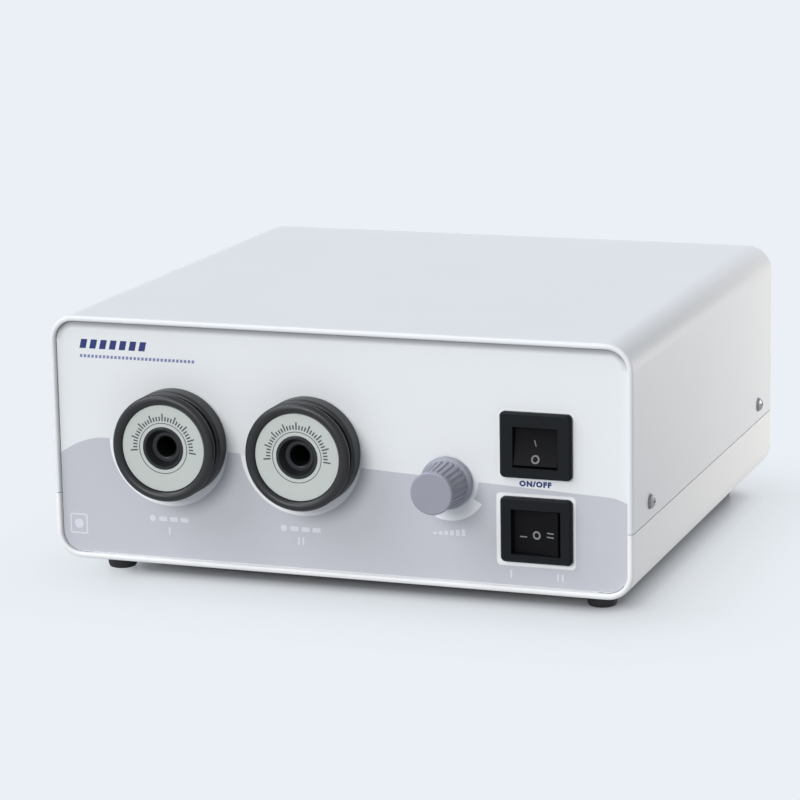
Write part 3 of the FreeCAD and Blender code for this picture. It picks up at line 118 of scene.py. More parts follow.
def finish(name, tones, patch, grain, depth, roughness, stretch=(1, 1, 1), **shader):
    """A finish from two tones, patch and grain widths and grain height in mm, and a range of roughness."""
    material = bpy.data.materials.new(name)
    material.use_nodes = True
    tree = material.node_tree
    tree.nodes.clear()
    place = add(tree, "TexCoord").outputs["Object"]
    drift = add(tree, "TexNoise", {"Vector": place, "Scale": 1 / (patch * MM), "Detail": 3.0})
    tone = add(tree, "Mix", {MIX_FACTOR: drift.outputs[0], MIX_A: paint(tones[0]), MIX_B: paint(tones[1])},
               data_type="RGBA")
    along = add(tree, "Mapping", {"Vector": place, "Scale": stretch})
    grit = add(tree, "TexNoise", {"Vector": along.outputs[0], "Scale": 1 / (grain * MM), "Detail": 2.0})
    smoothest, roughest = roughness
    gloss = add(tree, "MapRange", {"Value": grit.outputs[0], "To Min": smoothest, "To Max": roughest})
    relief = add(tree, "Bump", {"Height": grit.outputs[0], "Distance": depth * MM})
    surface = add(tree, "BsdfPrincipled", {"Base Color": tone.outputs[MIX_RESULT],
                                           "Roughness": gloss.outputs[0], "Normal": relief.outputs[0]})
    for socket, value in shader.items():
        surface.inputs[socket.replace("_", " ")].default_value = value
    end = add(tree, "OutputMaterial", {"Surface": surface.outputs[0]})
    surface.name, tone.name, relief.name, end.name = "surface", "tone", "relief", "end"
    return material


def overlay_tone(material, mask, colour):
    """Another colour where the mask is 1, over the tones that the material has so far."""
    tree = material.node_tree
    surface = tree.nodes["surface"]
    below = surface.inputs["Base Color"].links[0].from_socket
    mixed = add(tree, "Mix", {MIX_FACTOR: mask, MIX_A: below, MIX_B: paint(colour)}, data_type="RGBA")
    tree.links.new(mixed.outputs[MIX_RESULT], surface.inputs["Base Color"])


# %% [markdown]
# ## Powder-coated sheet steel
# Cover, tray and both panels are sheet steel with a polyester powder coat. The powder is sprayed on dry
# and melts in an oven, which leaves a faint orange peel about a millimetre wide and a few thousandths
# high, and a satin gloss. An image of a painted wall could give the same look, but a noise of the right
# size has no seams and no repeats.

# %% Powder coat
finishes = {}  # by material slot
own_finishes = {}  # by node, for the few pieces whose finish is not their slot's
# Polyester powder coat: satin, nearly neutral white; the peel only shows where a lamp grazes it.
POWDER = {"patch": 60, "grain": 1.2, "depth": 0.012, "roughness": (0.38, 0.48), "IOR": 1.5,
          "Specular_IOR_Level": 0.3}
finishes["white_enamel"] = finish("powder_coated_steel", ("E1E3E6", "E5E7E9"), **POWDER)
# The tray's coat is a shade lighter than the cover's.
own_finishes["bottom_tray"] = finish("powder_coated_tray", ("EBECED", "EFEFEF"), **POWDER)
print("case finishes", finishes["white_enamel"].name, own_finishes["bottom_tray"].name)

# %% [markdown]
# ## The front film and its inks
# The front is covered by a polycarbonate film with a fine satin texture. Its pale ground and the
# grey-lavender field are screen printed, and so are the small marks. Ink is a layer of its own, so each
# colour becomes a thin piece lying on the film. That keeps every edge sharp at any distance, which an
# image could not.

# %% Film and inks
# Polycarbonate film, matt textured: soft even white with no sharp reflections.
finishes["printed_film"] = finish("polycarbonate_film", ("E1E4E6", "E4E7E9"), patch=45, grain=0.35,
                                  depth=0.002, roughness=(0.42, 0.5), IOR=1.58)
# Screen-printing ink, cured: a little drier than the film, its tone uneven by mesh and squeegee.
lavender_ink = finish("lavender_screen_ink", ("BEBFC7", "C2C3CA"), patch=30, grain=0.4, depth=0.003,
                      roughness=(0.45, 0.55), IOR=1.5)
navy_ink = finish("navy_screen_ink", ("152163", "1B2A6E"), patch=6, grain=0.4, depth=0.003,
                  roughness=(0.4, 0.5), IOR=1.5)
faint_navy_ink = finish("faint_navy_ink", ("7379A6", "7F85AF"), patch=6, grain=0.4, depth=0.003,
                        roughness=(0.42, 0.52), IOR=1.5)
white_ink = finish("white_screen_ink", ("EEF0F3", "F1F3F6"), patch=10, grain=0.4, depth=0.003,
                   roughness=(0.4, 0.5), IOR=1.5)
pale_ink = finish("pale_lavender_ink", ("D6D7E0", "DADBE3"), patch=10, grain=0.4, depth=0.003,
                  roughness=(0.42, 0.52), IOR=1.5)
black_ink = finish("black_screen_ink", ("3C3F42", "45484B"), patch=4, grain=0.3, depth=0.003,
                   roughness=(0.45, 0.55), IOR=1.5)
inks = (lavender_ink, navy_ink, faint_navy_ink, white_ink, pale_ink, black_ink)
print("film", finishes["printed_film"].name, "and inks", [ink.name for ink in inks])

# %% [markdown]
# ## Painted shade under the lip
# The upper lip shades the film just below it, and this shade is painted into the film's colour as a soft
# grey line. A print would have a sharp edge, and shade fades, so the painted shade is a second tone in the
# film's own finish. Its mask is a distance: fold the film into one quarter, take away the half size up to
# the centre of the round corner, and the length that is left tells how near the edge a point lies. A ramp
# over the height ends the line a few millimetres down the sides.

# %% How far a point lies outside a block
def distance_outside(tree, centre, half_size, plane):
    """A point's distance from an upright block round the centre, along the axes where plane is 1."""
    place = add(tree, "TexCoord").outputs["Object"]
    place = add(tree, "VectorMath", {0: place, 1: centre}, operation="SUBTRACT").outputs[0]
    place = add(tree, "VectorMath", {0: place, 1: plane}, operation="MULTIPLY").outputs[0]
    place = add(tree, "VectorMath", {0: place}, operation="ABSOLUTE").outputs[0]
    place = add(tree, "VectorMath", {0: place, 1: half_size}, operation="SUBTRACT").outputs[0]
    place = add(tree, "VectorMath", {0: place, 1: (0, 0, 0)}, operation="MAXIMUM").outputs[0]
    return add(tree, "VectorMath", {0: place}, operation="LENGTH").outputs["Value"]


# %% Painted shade line under the lip
# Painted shade: a grey that darkens the film along its top edge, where the lip shades it.
FILM_CORNER = 8.0
LIP_SHADE_END, LIP_SHADE_FULL = 3.3, 0.4  # mm from the film's edge where the painted shade ends, and where it is darkest
LIP_SHADE_DROP = 9.0  # mm below the film's top where the line has faded out down the sides
LIP_SHADE_GREY = "9C9EA1"
film_low, film_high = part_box("front_overlay")
quarter = (film_high - film_low) / 2 - Vector((FILM_CORNER, 0, FILM_CORNER)) * MM
tree = finishes["printed_film"].node_tree
outside = distance_outside(tree, (film_low + film_high) / 2, quarter, plane=(1, 0, 1))
at_edge = add(tree, "MapRange", {"Value": outside, "From Min": (FILM_CORNER - LIP_SHADE_END) * MM,
                                 "From Max": (FILM_CORNER - LIP_SHADE_FULL) * MM},
              interpolation_type="SMOOTHSTEP")
level = add(tree, "SeparateXYZ", {0: add(tree, "TexCoord").outputs["Object"]})
near_top = add(tree, "MapRange", {"Value": level.outputs["Z"], "From Min": film_high.z - LIP_SHADE_DROP * MM,
                                  "From Max": film_high.z - LIP_SHADE_END * MM})
# The painted shade is darkest at the film's top edge and fades out down the round corners.
lip_shade = add(tree, "Math", {0: at_edge.outputs[0], 1: near_top.outputs[0]}, operation="MULTIPLY")
overlay_tone(finishes["printed_film"], lip_shade.outputs[0], LIP_SHADE_GREY)
print("the dust line is", LIP_SHADE_END, "mm wide")

# %% [markdown]
# ## Rubber and moulded plastics
# The collars of the outlets are moulded in black nitrile rubber, the feet in a softer, duller one. The
# switches are black nylon with a fine spark-eroded texture, their rockers a smoother one, and the knob is
# grey ABS. Moulded black is never quite black: dust and the texture lift it to a dark grey, and the
# rounded rims catch the light.

# %% Rubber
# Nitrile rubber, press moulded: satin dark grey with soft highlights along round edges.
finishes["bezel_black"] = finish("nitrile_rubber", ("17191B", "1C1E20"), patch=18, grain=0.5, depth=0.006,
                                 roughness=(0.34, 0.44), IOR=1.52, Specular_IOR_Level=0.38)
# Foot rubber: dull, it hardly reflects.
finishes["black_rubber"] = finish("foot_rubber", ("17181A", "1E1F21"), patch=8, grain=0.6, depth=0.02,
                                  roughness=(0.6, 0.75), IOR=1.52)
print("rubbers", finishes["bezel_black"].name, finishes["black_rubber"].name)

# %% Moulded plastics
# Glass-filled nylon with an eroded texture: matt charcoal.
finishes["switch_black"] = finish("textured_nylon", ("101315", "14171A"), patch=12, grain=0.25, depth=0.008,
                                  roughness=(0.42, 0.55), IOR=1.53, Specular_IOR_Level=0.12)
# Unfilled nylon, lightly polished mould: deeper black with a gentle sheen.
finishes["rocker_black"] = finish("polished_nylon", ("101012", "141417"), patch=10, grain=0.4, depth=0.002,
                                  roughness=(0.45, 0.55), IOR=1.53, Specular_IOR_Level=0.05)
# ABS, moulded in colour: satin grey-lavender.
finishes["knob_plastic"] = finish("grey_abs", ("8E8F9B", "9495A1"), patch=9, grain=0.4, depth=0.004,
                                  roughness=(0.36, 0.46), IOR=1.54)
# PBT with glass fibre: flat black, slightly streaked in the flow direction.
finishes["fan_black"] = finish("black_pbt", ("1B1C1E", "232426"), patch=14, grain=0.5, depth=0.008,
                               roughness=(0.45, 0.6), IOR=1.57)
# Phenolic and epoxy cases of components: dull black with a fine sandy skin.
finishes["component_black"] = finish("epoxy_moulding", ("1A1B1E", "242528"), patch=7, grain=0.3, depth=0.01,
                                     roughness=(0.5, 0.65), IOR=1.55)
moulded = ("switch_black", "rocker_black", "knob_plastic", "fan_black", "component_black")
print("moulded finishes", [finishes[slot].name for slot in moulded])

# %% [markdown]
# ## Anodised and plain aluminium
# The face plates are rolled sheet, etched satin and anodised clear, which makes a pale, even, slightly
# green-grey disc. The barrels are turned, so fine rings run round their axis before they are anodised
# black. The rings are a wave texture on the distance from the axis: its spacing is the lathe's feed. The
# real feed of about 0.1 mm is too fine to show, so 0.35 mm is drawn.

# %% Satin anodised plate
# Clear anodised aluminium, etched: a soft metal with hardly any mirror in it.
finishes["face_plate_satin"] = finish("satin_anodised_aluminium", ("B3B8B4", "B9BDB9"), patch=14, grain=0.3,
                                      depth=0.003, roughness=(0.48, 0.56), Metallic=0.7)
# Mill-finish aluminium: brighter, with drawing lines along the extrusion.
finishes["aluminium_plain"] = finish("mill_aluminium", ("BDBFC3", "C9CBCE"), patch=12, grain=0.5,
                                     depth=0.004, roughness=(0.28, 0.4), stretch=(1, 1, 0.15), Metallic=1.0)
print("aluminium", finishes["face_plate_satin"].name, finishes["aluminium_plain"].name)

# %% Black anodised barrel
LATHE_FEED = 0.35  # mm from ring to ring
RING_HEIGHT = 0.004  # mm


def turned_rings(material, centre):
    """Rings round a front-to-back axis through the centre, as relief on top of the grain."""
    tree = material.node_tree
    surface, relief = tree.nodes["surface"], tree.nodes["relief"]
    x, _, z = centre
    shift = (-x * MM, 0, -z * MM - UNDERSIDE)
    axis = add(tree, "Mapping", {"Vector": add(tree, "TexCoord").outputs["Object"], "Location": shift,
                                 "Scale": (1, 0, 1)})
    radius = add(tree, "VectorMath", {0: axis.outputs[0]}, operation="LENGTH")
    turns = add(tree, "Math", {0: radius.outputs["Value"], 1: 2 * math.pi / (LATHE_FEED * MM)},
                operation="MULTIPLY")
    wave = add(tree, "Math", {0: turns.outputs[0]}, operation="SINE")
    rings = add(tree, "Bump", {"Height": wave.outputs[0], "Distance": RING_HEIGHT * MM,
                               "Normal": relief.outputs[0]})
    tree.links.new(rings.outputs[0], surface.inputs["Normal"])


for number, centre in enumerate(port_centres, 1):
    # Black anodised aluminium: a dyed oxide layer over metal, with a metallic glint along its edges.
    barrel = finish(f"black_anodised_barrel_{number}", ("2C2E30", "343638"), patch=5, grain=0.3,
                    depth=0.001, roughness=(0.3, 0.4), Metallic=0.7)
    turned_rings(barrel, centre)
    own_finishes[f"port_{number}_socket"] = barrel
print("barrel rings every", LATHE_FEED, "mm")

# %% [markdown]
# ## Steel, plated and plain
# Screws and brackets are zinc plated, with the faint spangle of the bath. The outside screws are dull
# nickel, the clips bare spring steel with rolling lines, the fan's guard bright chromed wire, and the
# solder tags tinned brass. A metal's colour is its reflection, so only its tone and roughness change from
# one to the next.

# %% Metals
# Bright zinc: bluish white with a cloudy gloss.
finishes["zinc_steel"] = finish("zinc_plated_steel", ("B4B8BC", "C2C5C7"), patch=5, grain=0.8,
                                depth=0.004, roughness=(0.24, 0.4), Metallic=1.0)
# Dull nickel: greyer and darker.
finishes["dark_screw"] = finish("nickel_plated_steel", ("8F9092", "A2A3A4"), patch=3, grain=0.5,
                                depth=0.003, roughness=(0.22, 0.34), Metallic=1.0)
# Spring steel strip: grey, with lines along the strip.
finishes["spring_steel"] = finish("spring_steel", ("86888C", "96989B"), patch=6, grain=0.4, depth=0.003,
                                  roughness=(0.25, 0.38), stretch=(1, 1, 0.1), Metallic=1.0)
# Decorative chrome on drawn wire: nearly a mirror.
finishes["chrome_wire"] = finish("chromed_wire", ("C4C6C9", "CFD1D3"), patch=9, grain=0.6, depth=0.001,
                                 roughness=(0.08, 0.16), Metallic=1.0)
# Tinned brass: soft silver with a warm cast where the tin is thin.
finishes["tinned_brass"] = finish("tinned_brass", ("B9B2A0", "C9C5BA"), patch=2.5, grain=0.4, depth=0.002,
                                  roughness=(0.25, 0.4), Metallic=1.0)
metals = ("zinc_steel", "dark_screw", "spring_steel", "chrome_wire", "tinned_brass")
print("metals", [finishes[slot].name for slot in metals])

# %% [markdown]
# ## Glass and ceramics of the lamps
# Behind each outlet sits a sheet of heat glass and a halogen reflector lamp: a quartz capsule in a glass
# bowl whose coating lets heat through and throws light forward. Transmission makes a shader glass. The
# coating is a thin film, which Blender's shader has as its own setting, in nanometres.

# %% Lamp finishes
# Heat-absorbing borosilicate: clear, with a breath of green from the iron in it.
finishes["filter_glass"] = finish("heat_glass", ("DDEFE6", "E4F3EB"), patch=20, grain=2, depth=0.0005,
                                  roughness=(0.01, 0.03), IOR=1.47, Transmission_Weight=1.0)
# Fused quartz: colourless and perfectly smooth.
finishes["lamp_glass"] = finish("fused_quartz", ("F2F4F6", "F7F8F9"), patch=10, grain=2, depth=0.0005,
                                roughness=(0.0, 0.02), IOR=1.46, Transmission_Weight=1.0)
# Dichroic coating inside a pressed glass bowl: a mirror with shifting pale colours.
finishes["reflector_glass"] = finish("dichroic_reflector", ("C9CCD6", "D6D9E2"), patch=8, grain=1.5,
                                     depth=0.01, roughness=(0.08, 0.16), Metallic=1.0,
                                     Thin_Film_Thickness=420.0, Thin_Film_IOR=1.9)
# Steatite, pressed and fired: chalky off-white.
finishes["ceramic"] = finish("steatite", ("DDD9CC", "E6E2D6"), patch=6, grain=0.5, depth=0.015,
                             roughness=(0.5, 0.65), IOR=1.6)
lamp_slots = ("filter_glass", "lamp_glass", "reflector_glass", "ceramic")
print("lamp finishes", [finishes[slot].name for slot in lamp_slots])

# %% [markdown]
# ## Inside the electrical side
# The transformer's winding is wrapped in yellow polyester tape with overlapping turns that run over the
# ring like the spokes of a wheel. The board is green solder mask over copper, whose tracks show as
# lighter lines. A fuse is a glass tube between two plated caps, so its colour and metal depend on where
# along the tube a point is.

# %% Winding tape
# Polyester tape, wound tight: warm yellow with a soft gloss, and a darker line where each turn ends.
TAPE_TURNS = 44
TAPE_STEP = 0.15  # mm; real tape is thinner, but such a step would not show
LAP_START, LAP_SHADE = 0.9, 0.45  # share of a turn where its darker edge starts, and how dark it gets
winding = finish("polyester_tape", ("C9A93C", "D6B748"), patch=9, grain=0.8, depth=0.01,
                 roughness=(0.35, 0.5), IOR=1.6)
tree = winding.node_tree
hub = middle("transformer") * MM
around = add(tree, "Mapping", {"Vector": add(tree, "TexCoord").outputs["Object"],
                               "Location": (-hub.x, -hub.y, 0)})
turn = add(tree, "TexGradient", {"Vector": around.outputs[0]}, gradient_type="RADIAL")
laps = add(tree, "Math", {0: turn.outputs["Fac"], 1: float(TAPE_TURNS)}, operation="MULTIPLY")
lap = add(tree, "Math", {0: laps.outputs[0]}, operation="FRACT")
step = add(tree, "Bump", {"Height": lap.outputs[0], "Distance": TAPE_STEP * MM,
                          "Normal": tree.nodes["relief"].outputs[0]})
tree.links.new(step.outputs[0], tree.nodes["surface"].inputs["Normal"])
edge = add(tree, "MapRange", {"Value": lap.outputs[0], "From Min": LAP_START, "From Max": 1.0,
                              "To Max": LAP_SHADE})
overlay_tone(winding, edge.outputs[0], "8C6F1E")
finishes["winding"] = winding
print("tape turns", TAPE_TURNS)

# %% Circuit board
# Epoxy glass board, printed with solder mask: glossy green, lighter over the copper tracks.
TRACK_PITCH = 5.0
TRACK_WIDTH, TRACK_BLUR = 0.06, 0.2  # as shares of the pitch
PAD_LENGTH, PAD_HEIGHT = 1.7, 0.6  # of the fields between the tracks, also as shares
board = finish("green_solder_mask", ("17542B", "1C6033"), patch=15, grain=0.6, depth=0.004,
               roughness=(0.22, 0.32), IOR=1.55)
tree = board.node_tree
cells = add(tree, "TexBrick", {"Vector": add(tree, "TexCoord").outputs["Object"],
                               "Scale": 1 / (TRACK_PITCH * MM), "Mortar Size": TRACK_WIDTH,
                               "Mortar Smooth": TRACK_BLUR, "Brick Width": PAD_LENGTH,
                               "Row Height": PAD_HEIGHT})
overlay_tone(board, cells.outputs["Fac"], "3C9150")
finishes["circuit_board"] = board
print("track pitch", TRACK_PITCH, "mm")

# %% Glass fuses
# Glass tube in nickel-plated caps: a smooth pale middle, and metal over the last millimetres at each end.
CAP_LENGTH = 5.0
fuse_glass = finish("fuse_glass_and_caps", ("CFD6D8", "DCE2E4"), patch=6, grain=0.8, depth=0.001,
                    roughness=(0.05, 0.14), IOR=1.5)
tree = fuse_glass.node_tree
low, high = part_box("fuses")
along = add(tree, "SeparateXYZ", {0: add(tree, "TexCoord").outputs["Object"]})
from_middle = add(tree, "Math", {0: along.outputs["X"], 1: (low.x + high.x) / 2}, operation="SUBTRACT")
distance = add(tree, "Math", {0: from_middle.outputs[0]}, operation="ABSOLUTE")
is_cap = add(tree, "Math", {0: distance.outputs[0], 1: (high.x - low.x) / 2 - CAP_LENGTH * MM},
             operation="GREATER_THAN")
tree.links.new(is_cap.outputs[0], tree.nodes["surface"].inputs["Metallic"])
overlay_tone(fuse_glass, is_cap.outputs[0], "B8BABC")
finishes["fuse_glass"] = fuse_glass
print("fuse length", round((high.x - low.x) / MM, 1), "mm")

# %% [markdown]
# ## Give every node its finish
# The model's record says which material slot each node has, so the finishes are handed out by slot. The
# exceptions are the two barrels, whose rings run round two different axes, and the tray with its lighter
# coat.

# %% Hand out the finishes
for part in frame["record"]["subparts"]:
    material = own_finishes.get(part["node"]) or finishes[part["material_slot"]]
    frame["nodes"][part["node"]].material_slots[0].material = material

# %% [markdown]
# ## Drawing a print
# A print is a closed outline on the film. Blender's 2D curves fill such outlines and treat one inside
# another as a hole, so a ring is two circles. The filled drawing becomes a thin solid that faces the
# front and rides on the body that it is printed on. The helpers below give the outlines: an arc, a
# rounded rectangle and a leaning bar.

# %% Outlines in millimetres
def arc(x, z, radius, start=0.0, end=360.0, count=72):
    """Points on a circle from one angle to another, anticlockwise, closed if it goes all round."""
    steps = count if end - start >= 360 else count + 1
    angles = [math.radians(start + (end - start) * k / count) for k in range(steps)]
    return [(x + radius * math.cos(a), z + radius * math.sin(a)) for a in angles]


def rounded(x0, x1, z0, z1, radius):
    """A rectangle with round corners, from its left, right, lower and upper edge."""
    corners = ((x1 - radius, z1 - radius, 0), (x0 + radius, z1 - radius, 90),
               (x0 + radius, z0 + radius, 180), (x1 - radius, z0 + radius, 270))
    return [point for x, z, start in corners for point in arc(x, z, radius, start, start + 90, count=8)]


def bar(x0, x1, z0, z1, lean=0.0):
    """A bar whose top is shifted to the right by lean."""
    return [(x0, z0), (x1, z0), (x1 + lean, z1), (x0 + lean, z1)]


def ring(x, z, outer, inner):
    """Two circles, the inner one being the hole."""
    return [arc(x, z, outer), arc(x, z, inner)]


# %% From outlines to a thin solid
INK = 0.04  # thickness of a printed layer
FIELD_FRONT = FILM_FRONT - 1.5 * INK * MM  # front of what is printed straight on the film
WELD = 1e-7  # metres; the sides of a filled outline come apart from its faces and are joined again


def as_print(name, drawing, ink, surface_y, body="case"):
    """Turns a flat drawing in x and y into a thin solid in x and z that lies just in front of surface_y."""
    drawing.extrude = INK * MM / 2
    sketch = bpy.data.objects.new(name, drawing)
    mesh = bpy.data.meshes.new_from_object(sketch)
    bpy.data.objects.remove(sketch)
    bpy.data.curves.remove(drawing)
    solid = bmesh.new()
    solid.from_mesh(mesh)
    bmesh.ops.remove_doubles(solid, verts=solid.verts, dist=WELD)
    for vertex in solid.verts:
        x, up, out = vertex.co
        vertex.co = (x, surface_y - INK * MM - out, up)
    bmesh.ops.recalc_face_normals(solid, faces=solid.faces)
    solid.to_mesh(mesh)
    solid.free()
    mesh.name = name
    mesh.materials.clear()
    mesh.materials.append(ink)
    piece = bpy.data.objects.new(name, mesh)
    bpy.context.scene.collection.objects.link(piece)
    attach(piece, body)
    print(name, "has", len(mesh.polygons), "faces")
    return piece


def printed(name, outlines, ink, surface_y=FILM_FRONT, body="case"):
    """A print from outlines in millimetres: x, and height above the case's underside."""
    drawing = bpy.data.curves.new(name, "CURVE")
    drawing.dimensions = "2D"
    drawing.fill_mode = "BOTH"
    for points in outlines:
        line = drawing.splines.new("POLY")
        line.points.add(len(points) - 1)
        for point, (x, z) in zip(line.points, points):
            point.co = (x * MM, z * MM + UNDERSIDE, 0, 1)
        line.use_cyclic_u = True
    return as_print(name, drawing, ink, surface_y, body)


# %% [markdown]
# ## The lavender field
# The lower part of the front is printed grey-lavender. Its upper edge is one long line that falls gently
# to the right and drops off in a curve at both ends. It dips under the two outlets and the knob, which
# have round openings in the field, and the selector switch sits in a rounded window.

# %% Upper edge of the field
EDGE_START, EDGE_HEIGHT, EDGE_FALL = -105.5, 54.1, 0.0492
LEFT_BEND, LEFT_DROP, LEFT_RUN = -104.0, 9.6, 24.0
RIGHT_BEND, RIGHT_DROP, RIGHT_RUN = 119.0, 2.4, 9.3
HALO = 27.5  # radius of the white ring printed round an outlet
HALO_SHIFT = Vector((-3.9, 0, -1.4))  # the ring lies low and left of the outlet, so it shows as a crescent
KNOB_OPENING = 13.1
EDGE_STEP = 1.0
halo_centres = [centre + HALO_SHIFT for centre in port_centres]
bays = ((halo_centres[0], HALO), (halo_centres[1], HALO), (knob_centre, KNOB_OPENING))


def edge_height(x):
    """Height of the field's upper edge at x, without the bays."""
    height = EDGE_HEIGHT - EDGE_FALL * (x - EDGE_START)
    if x < LEFT_BEND:
        height -= LEFT_DROP * ((LEFT_BEND - x) / LEFT_RUN) ** 2
    if x > RIGHT_BEND:
        height -= RIGHT_DROP * ((x - RIGHT_BEND) / RIGHT_RUN) ** 2
    return height


def under_edge(centre, radius):
    """The part of a circle's lower half that lies in the field."""
    return [(x, z) for x, z in arc(centre.x, centre.z, radius, 180, 360, count=90) if z < edge_height(x)]


def edge_points(x0, x1):
    """The upper edge from x0 to x1, with a bay under each opening."""
    points, x = [], x0
    for centre, radius in bays:
        bay = under_edge(centre, radius)
        while x < bay[0][0]:
            points.append((x, edge_height(x)))
            x += EDGE_STEP
        points += bay
        x = bay[-1][0] + EDGE_STEP / 2
    while x < x1:
        points.append((x, edge_height(x)))
        x += EDGE_STEP
    return points + [(x1, edge_height(x1))]


print("the edge falls", round(edge_height(LEFT_BEND) - edge_height(RIGHT_BEND), 1), "mm from bend to bend")


# %% Lavender field
FIELD_MARGIN, FIELD_CORNER = 0.2, 7.8
SELECTOR_WINDOW = (70.8, 105.2, 11.1, 42.3, 2.0)  # left, right, bottom, top and corner radius
low, high = (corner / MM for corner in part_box("front_overlay"))
left, right = low.x + FIELD_MARGIN, high.x - FIELD_MARGIN
bottom = low.z - UNDERSIDE / MM + FIELD_MARGIN
lower_right = arc(right - FIELD_CORNER, bottom + FIELD_CORNER, FIELD_CORNER, 270, 360, count=12)
lower_left = arc(left + FIELD_CORNER, bottom + FIELD_CORNER, FIELD_CORNER, 180, 270, count=12)
field = edge_points(left, right) + lower_right[::-1] + lower_left[::-1]
printed("lavender_field", [field, rounded(*SELECTOR_WINDOW)], lavender_ink)

# %% White frame and rings in the field's openings
FRAME_OUTSIDE = (71.3, 104.7, 11.6, 41.8, 1.6)
FRAME_INSIDE = (74.2, 103.0, 14.2, 39.8, 1.5)  # hidden under the switch's rim
printed("selector_frame", [rounded(*FRAME_OUTSIDE), rounded(*FRAME_INSIDE)], white_ink)
RING_GAP = 0.3  # between a ring and the field round it
bezel_low, bezel_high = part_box("port_1_bezel")
RING_OVERLAP = 1.0  # how far a ring reaches in under the collar
RING_INNER = (bezel_high.x - bezel_low.x) / 2 / MM - RING_OVERLAP
for number, (centre, halo) in enumerate(zip(port_centres, halo_centres), 1):
    crescent = under_edge(halo, HALO - RING_GAP) + under_edge(centre, RING_INNER)[::-1]
    printed(f"outlet_{number}_ring", [crescent], white_ink)

# %% [markdown]
# ## Small prints
# A dark blue row of slanted bars stands top left, with a row of fine ones under it, and the power switch
# is marked ON/OFF in plain letters. Letters are a text object, which is a curve too, so they become a
# print in the same way. Pale marks on the lavender belong to what is above them: a disc and dashes under
# each outlet with one and two strokes for their numbers, rising bars under the knob, and strokes for the
# selector's two sides.

# %% Dark blue marks
BAR_ROW_X, BAR_ROW_Z = (-116.5, -86.0), (93.0, 97.0)
BARS, BAR_W, BAR_LEAN = 7, 2.9, 1.0
pitch = (BAR_ROW_X[1] - BAR_ROW_X[0] - BAR_W) / (BARS - 1)
starts = [BAR_ROW_X[0] + k * pitch for k in range(BARS)]
printed("blue_bars", [bar(x, x + BAR_W, *BAR_ROW_Z, lean=BAR_LEAN) for x in starts], navy_ink)
FINE_BARS, FINE_PITCH, FINE_W, FINE_LEAN = 30, 1.8, 1.1, 0.2
FINE_ROW_Z = (89.0, 90.3)
starts = [BAR_ROW_X[0] + k * FINE_PITCH for k in range(FINE_BARS)]
printed("fine_bars", [bar(x, x + FINE_W, *FINE_ROW_Z, lean=FINE_LEAN) for x in starts], faint_navy_ink)

# %% ON/OFF
LETTER_SIZE, LETTER_SPACING = 3.0, 1.25
LETTER_WEIGHT = 0.2  # mm that each stroke is thickened by
LETTER_WIDENING = 1.06
LETTERS_SHIFT, LETTERS_HEIGHT = -0.7, 45.5  # mm from the power switch's middle, and above the underside
letters = bpy.data.curves.new("on_off", "FONT")
letters.body = "ON/OFF"
letters.fill_mode = "BOTH"
letters.align_x = "CENTER"
letters.size = LETTER_SIZE * MM
letters.space_character = LETTER_SPACING
letters.offset = LETTER_WEIGHT * MM
on_off = as_print("on_off_mark", letters, navy_ink, FILM_FRONT)
for vertex in on_off.data.vertices:
    vertex.co.x = vertex.co.x * LETTER_WIDENING + (power_centre.x + LETTERS_SHIFT) * MM
    vertex.co.z += LETTERS_HEIGHT * MM + UNDERSIDE
print("ON/OFF is", round(on_off.dimensions.x / MM, 1), "mm wide")

# %% Pale marks under the outlets
MARKS_SHIFT = -4.5  # the marks stand left of an outlet's middle
DISC_X, DISC_Z, DISC_R = -7.8, 19.9, 1.4
DASHES, DASH_START, DASH_PITCH, DASH_W, DASH_Z = 3, -4.7, 5.0, 3.7, (18.9, 20.9)
STROKES = ((0,), (-1.0, 1.0))  # places of the strokes that count the outlet
STROKE_HALF, STROKE_Z = 0.4, (13.0, 16.3)
for number, centre in enumerate(port_centres, 1):
    x = centre.x + MARKS_SHIFT
    starts = [x + DASH_START + DASH_PITCH * k for k in range(DASHES)]
    dashes = [bar(start, start + DASH_W, *DASH_Z) for start in starts]
    middles = [x + shift for shift in STROKES[number - 1]]
    strokes = [bar(at - STROKE_HALF, at + STROKE_HALF, *STROKE_Z) for at in middles]
    disc = arc(x + DISC_X, DISC_Z, DISC_R, count=24)
    printed(f"outlet_{number}_marks", [disc] + dashes + strokes, pale_ink, FIELD_FRONT)

# %% Pale marks of knob, selector and corner
RISING_BARS, RISING_X, RISING_PITCH, RISING_W = 6, 43.2, 2.5, 1.6
RISING_Z, RISING_FIRST, RISING_STEP = 22.2, 1.0, 0.4
rising = []
for k in range(RISING_BARS):
    start, height = RISING_X + RISING_PITCH * k, RISING_FIRST + RISING_STEP * k
    rising.append(bar(start, start + RISING_W, RISING_Z, RISING_Z + height))
printed("dimmer_marks", rising, pale_ink, FIELD_FRONT)
SELECTOR_SIDES = ((76.8, 77.6, 6.0, 9.4), (97.0, 97.8, 5.8, 9.0), (99.0, 99.8, 5.8, 9.0))
printed("selector_marks", [bar(*edges) for edges in SELECTOR_SIDES], pale_ink, FIELD_FRONT)
CORNER_FRAME = ((-124.0, -115.7, 10.5, 19.5, 0.8), (-123.3, -116.4, 11.2, 18.8, 0.5))
CORNER_DISC = (-119.85, 15.0, 2.1)
corner_frame = [rounded(*edges) for edges in CORNER_FRAME]
printed("corner_mark", corner_frame + [arc(*CORNER_DISC, count=32)], pale_ink, FIELD_FRONT)

